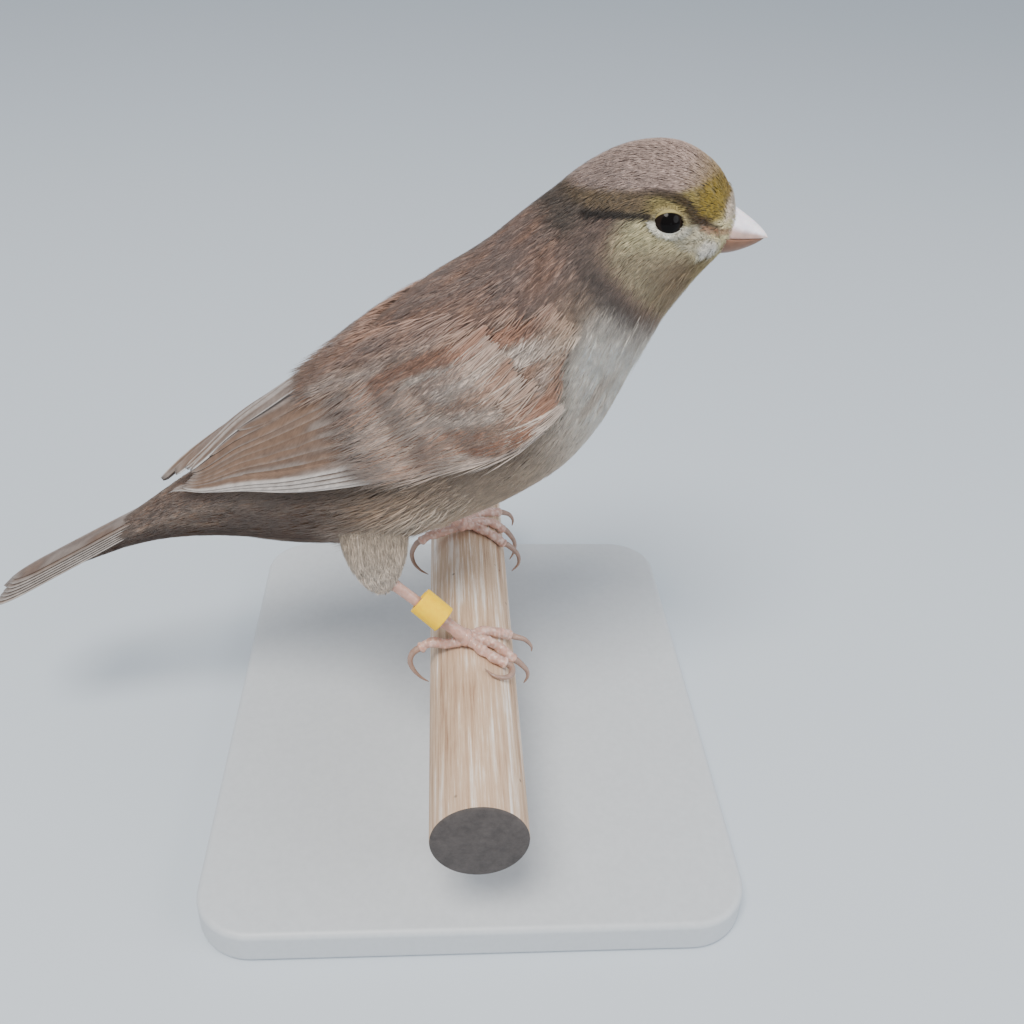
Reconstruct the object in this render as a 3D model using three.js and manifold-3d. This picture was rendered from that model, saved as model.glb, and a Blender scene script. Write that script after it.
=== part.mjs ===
import * as THREE from 'three';
import { mergeVertices } from 'three/addons/utils/BufferGeometryUtils.js';
import Module from 'manifold-3d';

const wasm = await Module();
wasm.setup();

// A canary on a short length of wooden perch, held by a flat base and two rods.
// Millimetres. +Z is up, +X is the way the bird faces, +Y runs along the perch to the bird's left.
// The origin is on the floor, under the middle of the base.

const GAP = 0.3;

const PERCH_DIAMETER = 14;
const PERCH_LENGTH = 99;
const PERCH_CHAMFER = 0.5;
const PERCH_SIDES = 30;

const BASE_LENGTH = 84;
const BASE_WIDTH = 100;
const BASE_THICKNESS = 6;
const BASE_CORNER = 9;
const ROD_DIAMETER = 4;
const ROD_HEIGHT = 12;
const ROD_SPACING = 74;

const PERCH_TOP = BASE_THICKNESS + ROD_HEIGHT + PERCH_DIAMETER;

// Sections of the body from the tail coverts to the base of the bill, measured from the top of the perch:
// position along and above the perch, slope of the spine in degrees, then the heights of the back and the
// belly above and below the spine, and the half width.
const SECTIONS = {
  tailCoverts: [-56.8, 11.1, 30, 1.6, 2.4, 3.2],
  tailBase: [-51.2, 14.2, 28, 2.4, 3.8, 4.6],
  vent: [-45.6, 17.0, 25, 3.6, 6.0, 6.0],
  lowerRump: [-39.5, 19.1, 23, 5.4, 8.0, 7.6],
  rump: [-32.8, 21.5, 21, 8.6, 11.2, 9.6],
  thighs: [-26.0, 23.6, 23, 10.8, 13.4, 11.4],
  belly: [-19.3, 26.0, 28, 13.0, 15.2, 12.7],
  loin: [-12.2, 29.6, 34, 14.6, 16.8, 13.5],
  back: [-5.4, 33.8, 40, 15.6, 17.8, 13.9],
  flank: [1.6, 38.7, 44, 16.3, 17.8, 14.0],
  breast: [7.4, 44.4, 46, 15.9, 16.3, 13.8],
  mantle: [11.7, 50.7, 48, 14.5, 14.6, 13.0],
  lowerNeck: [15.7, 56.2, 48, 13.1, 13.0, 11.4],
  upperNeck: [18.8, 59.5, 46, 12.5, 11.6, 10.2],
  nape: [21.7, 62.2, 37, 12.3, 11.0, 9.6],
  crown: [25.2, 64.5, 27, 11.7, 9.9, 9.2],
  brow: [29.2, 65.4, 16, 10.6, 7.8, 8.1],
  forehead: [32.5, 65.3, 7, 7.9, 5.8, 5.8],
  lores: [34.2, 64.6, -3, 4.7, 4.0, 3.9],
  billBase: [34.9, 64.2, -6, 2.7, 2.9, 2.7],
};
const SECTION_STEPS = 2;
const BODY_SIDES = 30;

// Stations of the cuts between the rump, torso, neck and head.
const CUT_RUMP = 4.4;
const CUT_NECK = 11.6;
const CUT_HEAD = 13.3;

// The head is turned a little towards the bird's right.
const HEAD_TURN = THREE.MathUtils.degToRad(6);

// Outer face of the folded wings at the same stations: height above the spine and half width.
const WING_HEIGHT = [3.6, 5.8, 7.7, 9.7, 12.4, 14.5, 16.3, 17.4, 18.3, 18.9, 18.3, 16.5, 14.7];
const WING_WIDTH = [3.8, 5.4, 7.0, 9.4, 12.0, 13.9, 15.4, 16.4, 16.9, 17.0, 16.6, 15.4, 13.6];

// Angles of each wing's lower and upper edge, in degrees from the ridge of the back, from station 2,
// the tips of the wings, to station 11, their bend. The left wing lies over the right one on the back.
const WING_TIP = 2;
const WING_BEND = 11;
const RIGHT_LOWER = [47, 60, 69, 76, 82, 90, 101, 107, 106, 92];
const RIGHT_UPPER = [30, 26, 22, 19, 17, 17, 22, 34, 50, 68];
const LEFT_LOWER = [10, 44, 66, 76, 82, 90, 101, 107, 106, 92];
const LEFT_UPPER = [-8, -19, -18, -16, -14, -8, 8, 28, 48, 68];
const FEATHER = 0.5;
const EDGE_TILT = 0.4;

// The arm of each wing, under the coverts, and the stations between which it lies.
const ARM = { from: 8.0, thickness: 1.0, edge: 0.6, sink: 1.0 };

// Tiers of wing feathers. Each starts at the station root and ends at tip, tips shifting by step and curve
// from one feather to the next. low and high are the places of the first and last feather across the wing,
// 0 at its lower edge and 1 at its upper one, and overlap is each feather's width over the spacing. The lift
// over the wing's outer face, the rise from one feather to the next and the dip of the root into the arm are
// in mm. Each feather's lower edge lies over the upper edge of the next one down.
const WING_TIERS = [
  {
    count: 5, root: 8.3, tip: 2, step: 0.1, curve: 0.13,
    low: 0.01, high: 0.33, overlap: 1.9, lift: -1.1, rise: 0.09, dip: 0.3,
  },
  {
    count: 4, root: 8.4, tip: 4.7, step: 0, curve: -0.02,
    low: 0.42, high: 0.66, overlap: 1.7, lift: -0.95, rise: 0.02, dip: 0.3,
  },
  {
    count: 3, root: 8.5, tip: 4.7, step: 0.5, curve: 0.1,
    low: 0.76, high: 0.98, overlap: 1.6, lift: -0.9, rise: 0, dip: 0.3,
  },
  {
    count: 6, root: 9.4, tip: 7.3, step: 0, curve: 0,
    low: 0.04, high: 0.95, overlap: 1.25, lift: 0.2, rise: 0, dip: 1.1,
  },
  {
    count: 5, root: 10.2, tip: 8.7, step: 0, curve: 0,
    low: 0.08, high: 0.93, overlap: 1.25, lift: 0.7, rise: 0, dip: 1.6,
  },
];
const VANE_MIN_WIDTH = 2.2;

// The tail leaves the body at its root and ends in a shallow fork.
const TAIL_ROOT = [-47.5, 16.9];
const TAIL_END = [-79.5, -2.0];
const TAIL_PAIRS = 6;
const TAIL_HALF_WIDTH = 2.8;
const TAIL_SPREAD = 0.36;
const TAIL_STACK = 0.24;
const TAIL_FORK = 0.8;

// The bill: its axis runs from inside the face to the tip, and the mouth line lies under the axis.
const BILL_ROOT = [33.2, 64.5];
const BILL_TIP = [40.5, 63.1];
const BILL_HALF_WIDTH = 3.3;
const BILL_UPPER_HEIGHT = 4.3;
const BILL_LOWER_HEIGHT = 2.9;
const BILL_LOWER_LENGTH = 0.92;
const MOUTH_DROP = 0.6;
const NOSTRIL_DIAMETER = 0.7;

// The eyes, set in sockets with a raised rim of bare skin.
const EYE_PLACE = [24.1, 67.0];
const EYE_DIAMETER = 5.2;
const EYE_OPENING = 3.9;
const EYE_DEPTH = 2.0;
const LID_WIDTH = 0.9;

// Legs: the ankle and the hub of each foot, from the top of the perch, for the bird's left side.
const ANKLE = [-13.9, 16.4, 13.7];
const FOOT_HUB = { angle: -9, spread: 16.2 };
const TARSUS_DIAMETER = 1.9;
const ANKLE_DIAMETER = 2.5;
const HUB_DIAMETER = 3.0;
const TOE_DIAMETER = 1.75;
const PERCH_CLEARANCE = 0.35;

// Each toe: the angle round the perch that it reaches, its sideways spread, how far its end stands off
// the perch, the length and turn of its claw and the sideways lean of that turn.
const RIGHT_TOES = [
  { reach: -57, spread: -0.8, rise: 3.3, claw: 8, turn: 125, lean: 0 },
  { reach: 43, spread: -3.6, rise: 2.3, claw: 4.8, turn: 80, lean: 0 },
  { reach: 50, spread: 2.6, rise: 0.4, claw: 4.8, turn: 60, lean: 0.2 },
  { reach: 35, spread: 6.0, rise: 0.2, claw: 6.0, turn: 130, lean: 1 },
];
const LEFT_TOES = [
  { reach: -69, spread: 0.6, rise: 2.8, claw: 7.4, turn: 120, lean: 0 },
  { reach: 52, spread: -1.2, rise: 1.6, claw: 5.4, turn: 90, lean: 0 },
  { reach: 56, spread: 3.4, rise: 0.8, claw: 5.2, turn: 70, lean: 0 },
  { reach: 48, spread: 7.5, rise: 2.4, claw: 4.8, turn: 70, lean: 0.2 },
];

// The open leg ring on the right leg.
const RING_OUTER = 4.6;
const RING_INNER = 3.3;
const RING_LENGTH = 5.0;
const RING_SLIT = 0.35;
const RING_PLACE = 0.57;

const skinFeathers = new THREE.MeshStandardMaterial({ color: 0x9a7b62, roughness: 0.9 });
const headFeathers = new THREE.MeshStandardMaterial({ color: 0xa39066, roughness: 0.9 });
const flightFeathers = new THREE.MeshStandardMaterial({ color: 0x8a6a52, roughness: 0.8 });
const paleFeathers = new THREE.MeshStandardMaterial({ color: 0xd9cdbf, roughness: 0.9 });
const billHorn = new THREE.MeshStandardMaterial({ color: 0xe6c3b0, roughness: 0.45 });
const legSkin = new THREE.MeshStandardMaterial({ color: 0xd9a593, roughness: 0.5 });
const eyeBlack = new THREE.MeshStandardMaterial({ color: 0x0c0a09, roughness: 0.08 });
const yellowPlastic = new THREE.MeshStandardMaterial({ color: 0xf2c81c, roughness: 0.4 });
const perchWood = new THREE.MeshStandardMaterial({ color: 0xc79a6b, roughness: 0.8 });
const standPaint = new THREE.MeshStandardMaterial({ color: 0xc2c6ca, roughness: 0.5 });
const rodSteel = new THREE.MeshStandardMaterial({ color: 0xb4b6b8, roughness: 0.3, metalness: 1 });

function toSolid(geometry) {
  const plain = geometry.clone();
  plain.deleteAttribute('normal');
  plain.deleteAttribute('uv');
  const merged = mergeVertices(plain, 1e-4);
  const vertProperties = new Float32Array(merged.attributes.position.array);
  const triVerts = new Uint32Array(merged.index.array);
  return new wasm.Manifold(new wasm.Mesh({ numProp: 3, vertProperties, triVerts }));
}

function largest(solid) {
  const pieces = solid.decompose();
  pieces.sort((a, b) => b.volume() - a.volume());
  return pieces[0];
}

function toMesh(name, solid, material) {
  const data = largest(solid).getMesh();
  const geometry = new THREE.BufferGeometry();
  geometry.setAttribute('position', new THREE.Float32BufferAttribute(data.vertProperties, 3));
  geometry.setIndex(Array.from(data.triVerts));
  geometry.computeVertexNormals();
  const mesh = new THREE.Mesh(geometry, material);
  mesh.name = name;
  return mesh;
}

function unite(solids) {
  return solids.reduce((sum, solid) => sum.add(solid));
}

// A closed form through a row of rings with the same number of points, its ends closed by fans.
function loft(rings) {
  const sides = rings[0].length;
  const positions = rings.flat().flatMap((p) => [p.x, p.y, p.z]);
  const index = [];
  for (let i = 0; i + 1 < rings.length; i++) {
    for (let j = 0; j < sides; j++) {
      const a = i * sides + j;
      const b = i * sides + ((j + 1) % sides);
      if (j * 2 < sides) {
        index.push(a, b, b + sides, a, b + sides, a + sides);
      } else {
        index.push(a, b, a + sides, b, b + sides, a + sides);
      }
    }
  }
  [0, rings.length - 1].forEach((i, end) => {
    const centre = new THREE.Vector3();
    rings[i].forEach((p) => centre.addScaledVector(p, 1 / sides));
    const hub = positions.length / 3;
    positions.push(centre.x, centre.y, centre.z);
    for (let j = 0; j < sides; j++) {
      const a = i * sides + j;
      const b = i * sides + ((j + 1) % sides);
      index.push(...(end ? [a, b, hub] : [b, a, hub]));
    }
  });
  const geometry = new THREE.BufferGeometry();
  geometry.setAttribute('position', new THREE.Float32BufferAttribute(positions, 3));
  geometry.setIndex(index);
  const solid = toSolid(geometry);
  if (solid.volume() > 0) {
    return solid;
  }
  geometry.setIndex(index.reverse());
  return toSolid(geometry);
}

// A smooth curve through a row of numbers, one at each whole value of t.
function through(values, t) {
  const last = values.length - 1;
  const i = Math.min(Math.max(Math.floor(t), 0), last - 1);
  const f = t - i;
  const at = (k) => values[Math.min(Math.max(k, 0), last)];
  const [a, b, c, d] = [at(i - 1), at(i), at(i + 1), at(i + 2)];
  return b + 0.5 * f * (c - a + f * (2 * a - 5 * b + 4 * c - d + f * (3 * (b - c) + d - a)));
}

const rows = Object.values(SECTIONS);
const columns = [0, 1, 2, 3, 4, 5].map((k) => rows.map((row) => row[k]));

function section(s) {
  const [x, z, slope, back, belly, halfWidth] = columns.map((column) => through(column, s));
  return { x, z, slope: THREE.MathUtils.degToRad(slope), back, belly, halfWidth };
}

// Turns points of the head and neck about an upright line through the neck.
function turnHead(point) {
  const pivot = section(12.5);
  const reach = THREE.MathUtils.smoothstep(point.x + 0.7 * point.z, 48, 70);
  const turned = point.clone();
  const dx = point.x - pivot.x;
  const angle = -HEAD_TURN * reach;
  turned.x = pivot.x + dx * Math.cos(angle) - point.y * Math.sin(angle);
  turned.y = dx * Math.sin(angle) + point.y * Math.cos(angle);
  return turned;
}

// A point of the body's surface at station s; the angle runs from the back over the bird's right side.
function bodyPoint(s, angle, lift = 0) {
  const { x, z, slope, back, belly, halfWidth } = section(s);
  const c = Math.cos(angle);
  const n = Math.sin(angle);
  const height = (c > 0 ? back : belly) + lift;
  const up = height * c;
  const side = (halfWidth + lift) * n;
  const along = -up * Math.sin(slope);
  return turnHead(new THREE.Vector3(x + along, -side, z + up * Math.cos(slope)));
}

function bodySolid(lift, steps = SECTION_STEPS, sides = BODY_SIDES) {
  const rings = [];
  const count = (rows.length - 1) * steps;
  for (let i = 0; i <= count; i++) {
    const ring = [];
    for (let j = 0; j < sides; j++) {
      ring.push(bodyPoint(i / steps, (j / sides) * 2 * Math.PI, lift));
    }
    rings.push(ring);
  }
  [0, count].forEach((i) => {
    const { slope } = section(i / steps);
    const out = new THREE.Vector3(Math.cos(slope), 0, Math.sin(slope)).multiplyScalar(i ? lift : -lift);
    rings[i].forEach((point) => point.add(out));
  });
  return loft(rings);
}

// A box that keeps one side of the section plane at station s, half a gap away from it.
function cutBox(s, forward) {
  const { x, z, slope } = section(s);
  const size = 200;
  const box = new THREE.BoxGeometry(size, size, size);
  const offset = (size / 2 + GAP / 2 + 0.01) * (forward ? 1 : -1);
  box.translate(offset, 0, 0);
  box.rotateY(-slope);
  box.translate(x, 0, z);
  return toSolid(box);
}

function place(x, z, y = 0) {
  return turnHead(new THREE.Vector3(x, y, z));
}

// A point on the outer face of a folded wing, as bodyPoint is for the body.
function wingPoint(s, angle, lift = 0) {
  const { x, z, slope, belly } = section(s);
  const c = Math.cos(angle);
  const high = through(WING_HEIGHT, s) + lift;
  const low = belly + 2 + lift;
  const up = (c > 0 ? high : low) * c;
  const side = (through(WING_WIDTH, s) + lift) * Math.sin(angle);
  return new THREE.Vector3(x - up * Math.sin(slope), -side, z + up * Math.cos(slope));
}

// The arm of a folded wing: a low shell over the shoulder and flank with a rounded bend.
function wingArm(lower, upper) {
  const steps = 8;
  const across = 6;
  const rings = [];
  for (let i = 0; i <= steps; i++) {
    const s = THREE.MathUtils.lerp(ARM.from, WING_BEND, i / steps);
    const nose = Math.sqrt(1 - Math.max(0, (s - 9.6) / 1.42) ** 2) * Math.min(1, 0.3 + (s - ARM.from) * 0.6);
    const low = through(lower, s - WING_TIP) - 3;
    const high = through(upper, s - WING_TIP) + 3;
    const outside = [];
    const inside = [];
    for (let j = 0; j <= across; j++) {
      const t = j / across;
      const angle = THREE.MathUtils.degToRad((low + high) / 2 + (low - high) * (0.5 - t) * nose);
      const thick = ARM.edge + (ARM.thickness - ARM.edge) * Math.sqrt(1 - (2 * t - 1) ** 2);
      const lift = -ARM.sink;
      outside.push(wingPoint(s, angle, lift - (ARM.thickness - thick) * 0.5));
      inside.push(wingPoint(s, angle, lift - (ARM.thickness + thick) * 0.5));
    }
    rings.push([...outside, ...inside.reverse()]);
  }
  return loft(rings);
}

// One wing feather: a thin vane on the wing's outer face with a raised shaft line and a rounded tip.
function wingVane(lower, upper, { root, tip, across, span, lift, dip }) {
  const steps = root - tip > 3 ? 5 : 4;
  const rings = [];
  for (let i = 0; i <= steps; i++) {
    const t = i / steps;
    const s = THREE.MathUtils.lerp(root, tip, t);
    const low = through(lower, s - WING_TIP);
    const high = through(upper, s - WING_TIP);
    const radius = (through(WING_WIDTH, s) + through(WING_HEIGHT, s)) / 2;
    const point = Math.sqrt(Math.max(0.03, 1 - Math.max(0, (t - 0.62) / 0.38) ** 2.2));
    const shape = Math.min(1, 0.5 + 1.4 * t) * point;
    const least = THREE.MathUtils.radToDeg(VANE_MIN_WIDTH / 2 / radius);
    const reach = Math.min(Math.max((span / 2) * (low - high), least) * shape, (low - high) / 2);
    const middle = THREE.MathUtils.clamp(THREE.MathUtils.lerp(low, high, across), high + reach, low - reach);
    const outside = [];
    const inside = [];
    [1, -1].forEach((side) => {
      const angle = THREE.MathUtils.degToRad(middle + side * reach);
      const height = lift + EDGE_TILT * side - dip * Math.max(0, 1 - t * 3.5);
      outside.push(wingPoint(s, angle, height));
      inside.push(wingPoint(s, angle, height - FEATHER));
    });
    rings.push([...outside, ...inside.reverse()]);
  }
  return loft(rings);
}

function wing(lower, upper) {
  const pieces = [wingArm(lower, upper)];
  WING_TIERS.forEach((tier) => {
    for (let k = 0; k < tier.count; k++) {
      const spacing = (tier.high - tier.low) / (tier.count - 1);
      pieces.push(wingVane(lower, upper, {
        root: tier.root,
        tip: tier.tip + tier.step * k + tier.curve * k * k,
        across: tier.low + spacing * k,
        span: spacing * tier.overlap,
        lift: tier.lift + tier.rise * k,
        dip: tier.dip,
      }));
    }
  });
  return unite(pieces);
}

// One tail feather: a long thin vane; pair 0 is the middle one, on top, and the outer ones lie below.
function tailVane(pair, side) {
  const root = place(...TAIL_ROOT);
  const end = place(...TAIL_END);
  const along = end.clone().sub(root).normalize();
  const up = new THREE.Vector3(along.z, 0, -along.x);
  const length = root.distanceTo(end) - TAIL_FORK * (TAIL_PAIRS - 1 - pair);
  const rings = [];
  const steps = 6;
  for (let i = 0; i <= steps; i++) {
    const t = i / steps;
    const rounding = Math.sqrt(Math.max(0.05, 1 - Math.max(0, (t - 0.8) / 0.2) ** 2));
    const shape = Math.min(1, 0.75 + 0.5 * t) * rounding;
    const middle = side * (0.5 + TAIL_SPREAD * (pair + 0.5) * (0.4 + 0.6 * t));
    const outside = [];
    const inside = [];
    [-1, 1].forEach((edge) => {
      const y = middle + edge * TAIL_HALF_WIDTH * shape * (edge === side ? 0.8 : 1);
      const height = 1.6 - TAIL_STACK * (pair + (side > 0 ? 0 : 0.5)) - 0.1 * Math.abs(y);
      const point = root.clone().addScaledVector(along, length * t).addScaledVector(up, height);
      point.y += y;
      outside.push(point);
      inside.push(point.clone().addScaledVector(up, -FEATHER));
    });
    rings.push([...outside, ...inside.reverse()]);
  }
  return loft(rings);
}

function tail() {
  const vanes = [];
  for (let pair = 0; pair < TAIL_PAIRS; pair++) {
    vanes.push(tailVane(pair, 1), tailVane(pair, -1));
  }
  return unite(vanes);
}

// One half of the bill; the sign picks the upper or the lower one, and lift makes it larger all round.
function billHalf(sign, height, reach, lift = 0) {
  const root = place(...BILL_ROOT);
  const tip = place(...BILL_TIP);
  const along = tip.clone().sub(root).normalize();
  const side = new THREE.Vector3(0, 1, 0).cross(along).cross(along).negate().normalize();
  const up = along.clone().cross(side).normalize();
  if (up.z < 0) {
    up.negate();
  }
  const length = root.distanceTo(tip) * reach;
  const rings = [];
  for (let i = 0; i <= 7; i++) {
    const t = i / 7;
    const taper = Math.max(0.02, sign > 0 ? (1 - t ** 1.25) ** 0.8 : (1 - t ** 1.5) ** 0.75);
    const ring = [];
    const far = t * reach;
    const mouth = -MOUTH_DROP * (1 - 0.9 * far) - 0.5 * Math.sin(Math.PI * far) * (1 - far);
    for (let j = 0; j < 10; j++) {
      const a = (j / 9) * Math.PI;
      const y = (BILL_HALF_WIDTH * taper + lift) * Math.cos(a);
      const rise = (height * taper + 2 * lift) * Math.sin(a);
      const point = root.clone();
      point.addScaledVector(along, length * t + (i === 7 ? lift : i === 0 ? -lift : 0));
      point.addScaledVector(side, y);
      point.addScaledVector(up, mouth + sign * (GAP / 2 + 0.02 - lift + rise));
      ring.push(point);
    }
    rings.push(ring);
  }
  return loft(rings);
}

// A round limb through a row of points with a diameter at each.
function limb(points, diameters, sides = 8, steps = 3) {
  const curve = new THREE.CatmullRomCurve3(points);
  const count = (points.length - 1) * steps;
  const rings = [];
  let side = new THREE.Vector3(0, 1, 0);
  for (let i = 0; i <= count; i++) {
    const t = i / count;
    const centre = curve.getPoint(t);
    const along = curve.getTangent(t);
    side = side.clone().addScaledVector(along, -side.dot(along)).normalize();
    const up = along.clone().cross(side);
    const radius = through(diameters, t * (diameters.length - 1)) / 2;
    const ring = [];
    for (let j = 0; j < sides; j++) {
      const a = (j / sides) * 2 * Math.PI;
      const point = centre.clone().addScaledVector(side, radius * Math.cos(a));
      ring.push(point.addScaledVector(up, radius * Math.sin(a)));
    }
    rings.push(ring);
  }
  return loft(rings);
}

function ball(point, diameter, across = 16, down = 10) {
  const sphere = new THREE.SphereGeometry(diameter / 2, across, down);
  sphere.translate(point.x, point.y, point.z);
  return toSolid(sphere);
}

// A point over the perch at an angle from its top towards +X, at a place along it and a height over it.
function overPerch(degrees, y, height) {
  const angle = THREE.MathUtils.degToRad(degrees);
  const radius = PERCH_DIAMETER / 2 + height;
  const x = radius * Math.sin(angle);
  return new THREE.Vector3(x, y, radius * Math.cos(angle) - PERCH_DIAMETER / 2);
}

const hubHeight = PERCH_CLEARANCE + HUB_DIAMETER / 2;

// A foot with its four toes and claws; mirror is 1 for the left foot and -1 for the right one.
function foot(toes, mirror, lift = 0) {
  const hub = overPerch(FOOT_HUB.angle, mirror * FOOT_HUB.spread, hubHeight);
  const swell = (widths) => widths.map((width) => width + 2 * lift);
  const pieces = [ball(hub, HUB_DIAMETER + 2 * lift, 10, 6)];
  toes.forEach(({ reach, spread, rise, claw, turn, lean }) => {
    const points = [];
    for (let i = 0; i <= 4; i++) {
      const t = i / 4;
      const degrees = THREE.MathUtils.lerp(FOOT_HUB.angle, reach, t);
      const height = PERCH_CLEARANCE + TOE_DIAMETER / 2 + (1 - t) ** 2 * 0.5 + rise * t * t;
      points.push(overPerch(degrees, mirror * (FOOT_HUB.spread + spread * t), height));
    }
    const thin = TOE_DIAMETER * 0.86;
    pieces.push(limb(points, swell([TOE_DIAMETER, TOE_DIAMETER, thin, TOE_DIAMETER, thin]), 6, 1.25));
    const start = points[4];
    const ahead = start.clone().sub(points[3]).normalize();
    const axis = new THREE.Vector3(0, start.y, -PERCH_DIAMETER / 2);
    const curl = axis.sub(start).normalize().multiplyScalar(1 - lean);
    curl.addScaledVector(new THREE.Vector3(-0.4, mirror, 0.1), lean);
    curl.addScaledVector(ahead, -curl.dot(ahead)).normalize();
    const bend = THREE.MathUtils.degToRad(turn);
    const hook = [];
    for (let i = 0; i <= 5; i++) {
      const a = (bend * i) / 5;
      const point = start.clone().addScaledVector(ahead, (claw / bend) * Math.sin(a));
      hook.push(point.addScaledVector(curl, (claw / bend) * (1 - Math.cos(a))));
    }
    pieces.push(limb(hook, swell([thin * 0.95, 1.0, 0.85, 0.65, 0.4, 0.12]), 6, 1.2));
  });
  return unite(pieces);
}

// The shank from the ankle down to the foot.
function shank(mirror, lift = 0) {
  const [x, y, z] = ANKLE;
  const ankle = new THREE.Vector3(x, mirror * y, z);
  const hub = overPerch(FOOT_HUB.angle, mirror * FOOT_HUB.spread, hubHeight);
  const points = [0, 0.12, 0.5, 0.88, 1].map((t) => ankle.clone().lerp(hub, t));
  const thin = TARSUS_DIAMETER;
  const widths = [ANKLE_DIAMETER, thin * 1.1, thin, thin * 1.1, thin * 1.25];
  const swollen = widths.map((width) => width + 2 * lift);
  return limb(points, swollen, 8, 1).add(ball(ankle, ANKLE_DIAMETER + 2 * lift, 8, 6));
}

// The feathered thigh: oval sections from the belly down to the ankle.
const THIGH = [
  [-17.5, 8.5, 23.5, 7.5, 5.0],
  [-17.0, 11.5, 19.5, 6.6, 4.6],
  [-15.9, 14.2, 16.4, 4.6, 3.6],
  [-14.9, 15.8, 13.8, 3.0, 2.6],
  [-14.5, 16.3, 12.2, 1.9, 1.7],
];

function thigh(mirror) {
  const rings = [];
  for (let i = 0; i <= 8; i++) {
    const [x, y, z, rx, ry] = [0, 1, 2, 3, 4].map((k) => through(THIGH.map((row) => row[k]), i / 2));
    const ring = [];
    for (let j = 0; j < 12; j++) {
      const a = (j / 12) * 2 * Math.PI;
      ring.push(new THREE.Vector3(x + rx * Math.cos(a), mirror * (y + ry * Math.sin(a)), z));
    }
    rings.push(ring);
  }
  return loft(rings);
}

// The leg ring: a short tube with a slit, round the shank.
function legRing() {
  const [x, y, z] = ANKLE;
  const ankle = new THREE.Vector3(x, -y, z);
  const hub = overPerch(FOOT_HUB.angle, -FOOT_HUB.spread, hubHeight);
  const half = RING_LENGTH / 2;
  const profile = [
    new THREE.Vector2(RING_INNER / 2, -half),
    new THREE.Vector2(RING_OUTER / 2, -half),
    new THREE.Vector2(RING_OUTER / 2, half),
    new THREE.Vector2(RING_INNER / 2, half),
    new THREE.Vector2(RING_INNER / 2, -half),
  ];
  const tube = new THREE.LatheGeometry(profile, 28);
  const slit = new THREE.BoxGeometry(RING_OUTER, RING_LENGTH * 1.2, RING_SLIT);
  slit.translate(RING_OUTER / 2, 0, 0);
  slit.rotateY(THREE.MathUtils.degToRad(150));
  const along = hub.clone().sub(ankle).normalize();
  const turn = new THREE.Quaternion().setFromUnitVectors(new THREE.Vector3(0, 1, 0), along);
  const centre = ankle.clone().lerp(hub, RING_PLACE);
  const matrix = new THREE.Matrix4().compose(centre, turn, new THREE.Vector3(1, 1, 1));
  let solid = toSolid(tube);
  if (solid.volume() < 0) {
    tube.setIndex(Array.from(tube.index.array).reverse());
    solid = toSolid(tube);
  }
  return solid.subtract(toSolid(slit)).transform(matrix.elements);
}

const body = bodySolid(0);
const keepOut = bodySolid(GAP + 0.1);

// Eyes: a ball in a socket, and a rim of skin standing a little proud of the face.
const eyes = {};
let face = body.intersect(cutBox(CUT_HEAD, true));
[1, -1].forEach((mirror) => {
  const [x, z] = EYE_PLACE;
  let s = 13;
  let best = Infinity;
  let spot = null;
  for (let station = 13; station < 17; station += 0.02) {
    for (let degrees = 60; degrees < 110; degrees += 1) {
      const point = bodyPoint(station, THREE.MathUtils.degToRad(degrees * -mirror));
      const miss = Math.hypot(point.x - x, point.z - z);
      if (miss < best) {
        best = miss;
        s = station;
        spot = point;
      }
    }
  }
  const inward = new THREE.Vector3(section(s).x - spot.x + 0.6, -spot.y, section(s).z - spot.z).normalize();
  const centre = spot.clone().addScaledVector(inward, EYE_DEPTH);
  eyes[mirror] = ball(centre, EYE_DIAMETER, 16, 10);
  const socket = ball(centre, EYE_DIAMETER + 2 * GAP + 0.15, 16, 10);
  const rim = new THREE.TorusGeometry(EYE_OPENING / 2 + LID_WIDTH / 2, LID_WIDTH / 2, 5, 16);
  rim.lookAt(inward);
  const seat = spot.clone().addScaledVector(inward, 0.12);
  rim.translate(seat.x, seat.y, seat.z);
  face = face.add(toSolid(rim)).subtract(socket);
});

const billUpper = billHalf(1, BILL_UPPER_HEIGHT, 1);
const billLower = billHalf(-1, BILL_LOWER_HEIGHT, BILL_LOWER_LENGTH);
const billRoom = GAP + 0.25;
const billPocket = billHalf(1, BILL_UPPER_HEIGHT, 1, billRoom).add(
  billHalf(-1, BILL_LOWER_HEIGHT, BILL_LOWER_LENGTH, billRoom),
);
face = face.subtract(billPocket);
let billTop = billUpper;
[1, -1].forEach((mirror) => {
  const nostril = place(35.3, 65.4, mirror * 2.1);
  billTop = billTop.subtract(ball(nostril, NOSTRIL_DIAMETER, 10, 6));
});

const torso = body.intersect(cutBox(CUT_RUMP, true)).intersect(cutBox(CUT_NECK, false));
const wingRight = wing(RIGHT_LOWER, RIGHT_UPPER).subtract(keepOut);
const wingLeft = wing(LEFT_LOWER, LEFT_UPPER).mirror([0, 1, 0]).subtract(keepOut);

const bird = new THREE.Group();
bird.position.z = PERCH_TOP;
bird.add(
  toMesh('rump', body.intersect(cutBox(CUT_RUMP, false)), skinFeathers),
  toMesh('torso', torso, skinFeathers),
  toMesh('neck', body.intersect(cutBox(CUT_NECK, true)).intersect(cutBox(CUT_HEAD, false)), skinFeathers),
  toMesh('head', face, headFeathers),
  toMesh('bill_upper', billTop, billHorn),
  toMesh('bill_lower', billLower, billHorn),
  toMesh('eye_left', eyes[1], eyeBlack),
  toMesh('eye_right', eyes[-1], eyeBlack),
  toMesh('wing_right', wingRight, flightFeathers),
  toMesh('wing_left', wingLeft, flightFeathers),
  toMesh('tail', tail().subtract(keepOut), flightFeathers),
);

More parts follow.
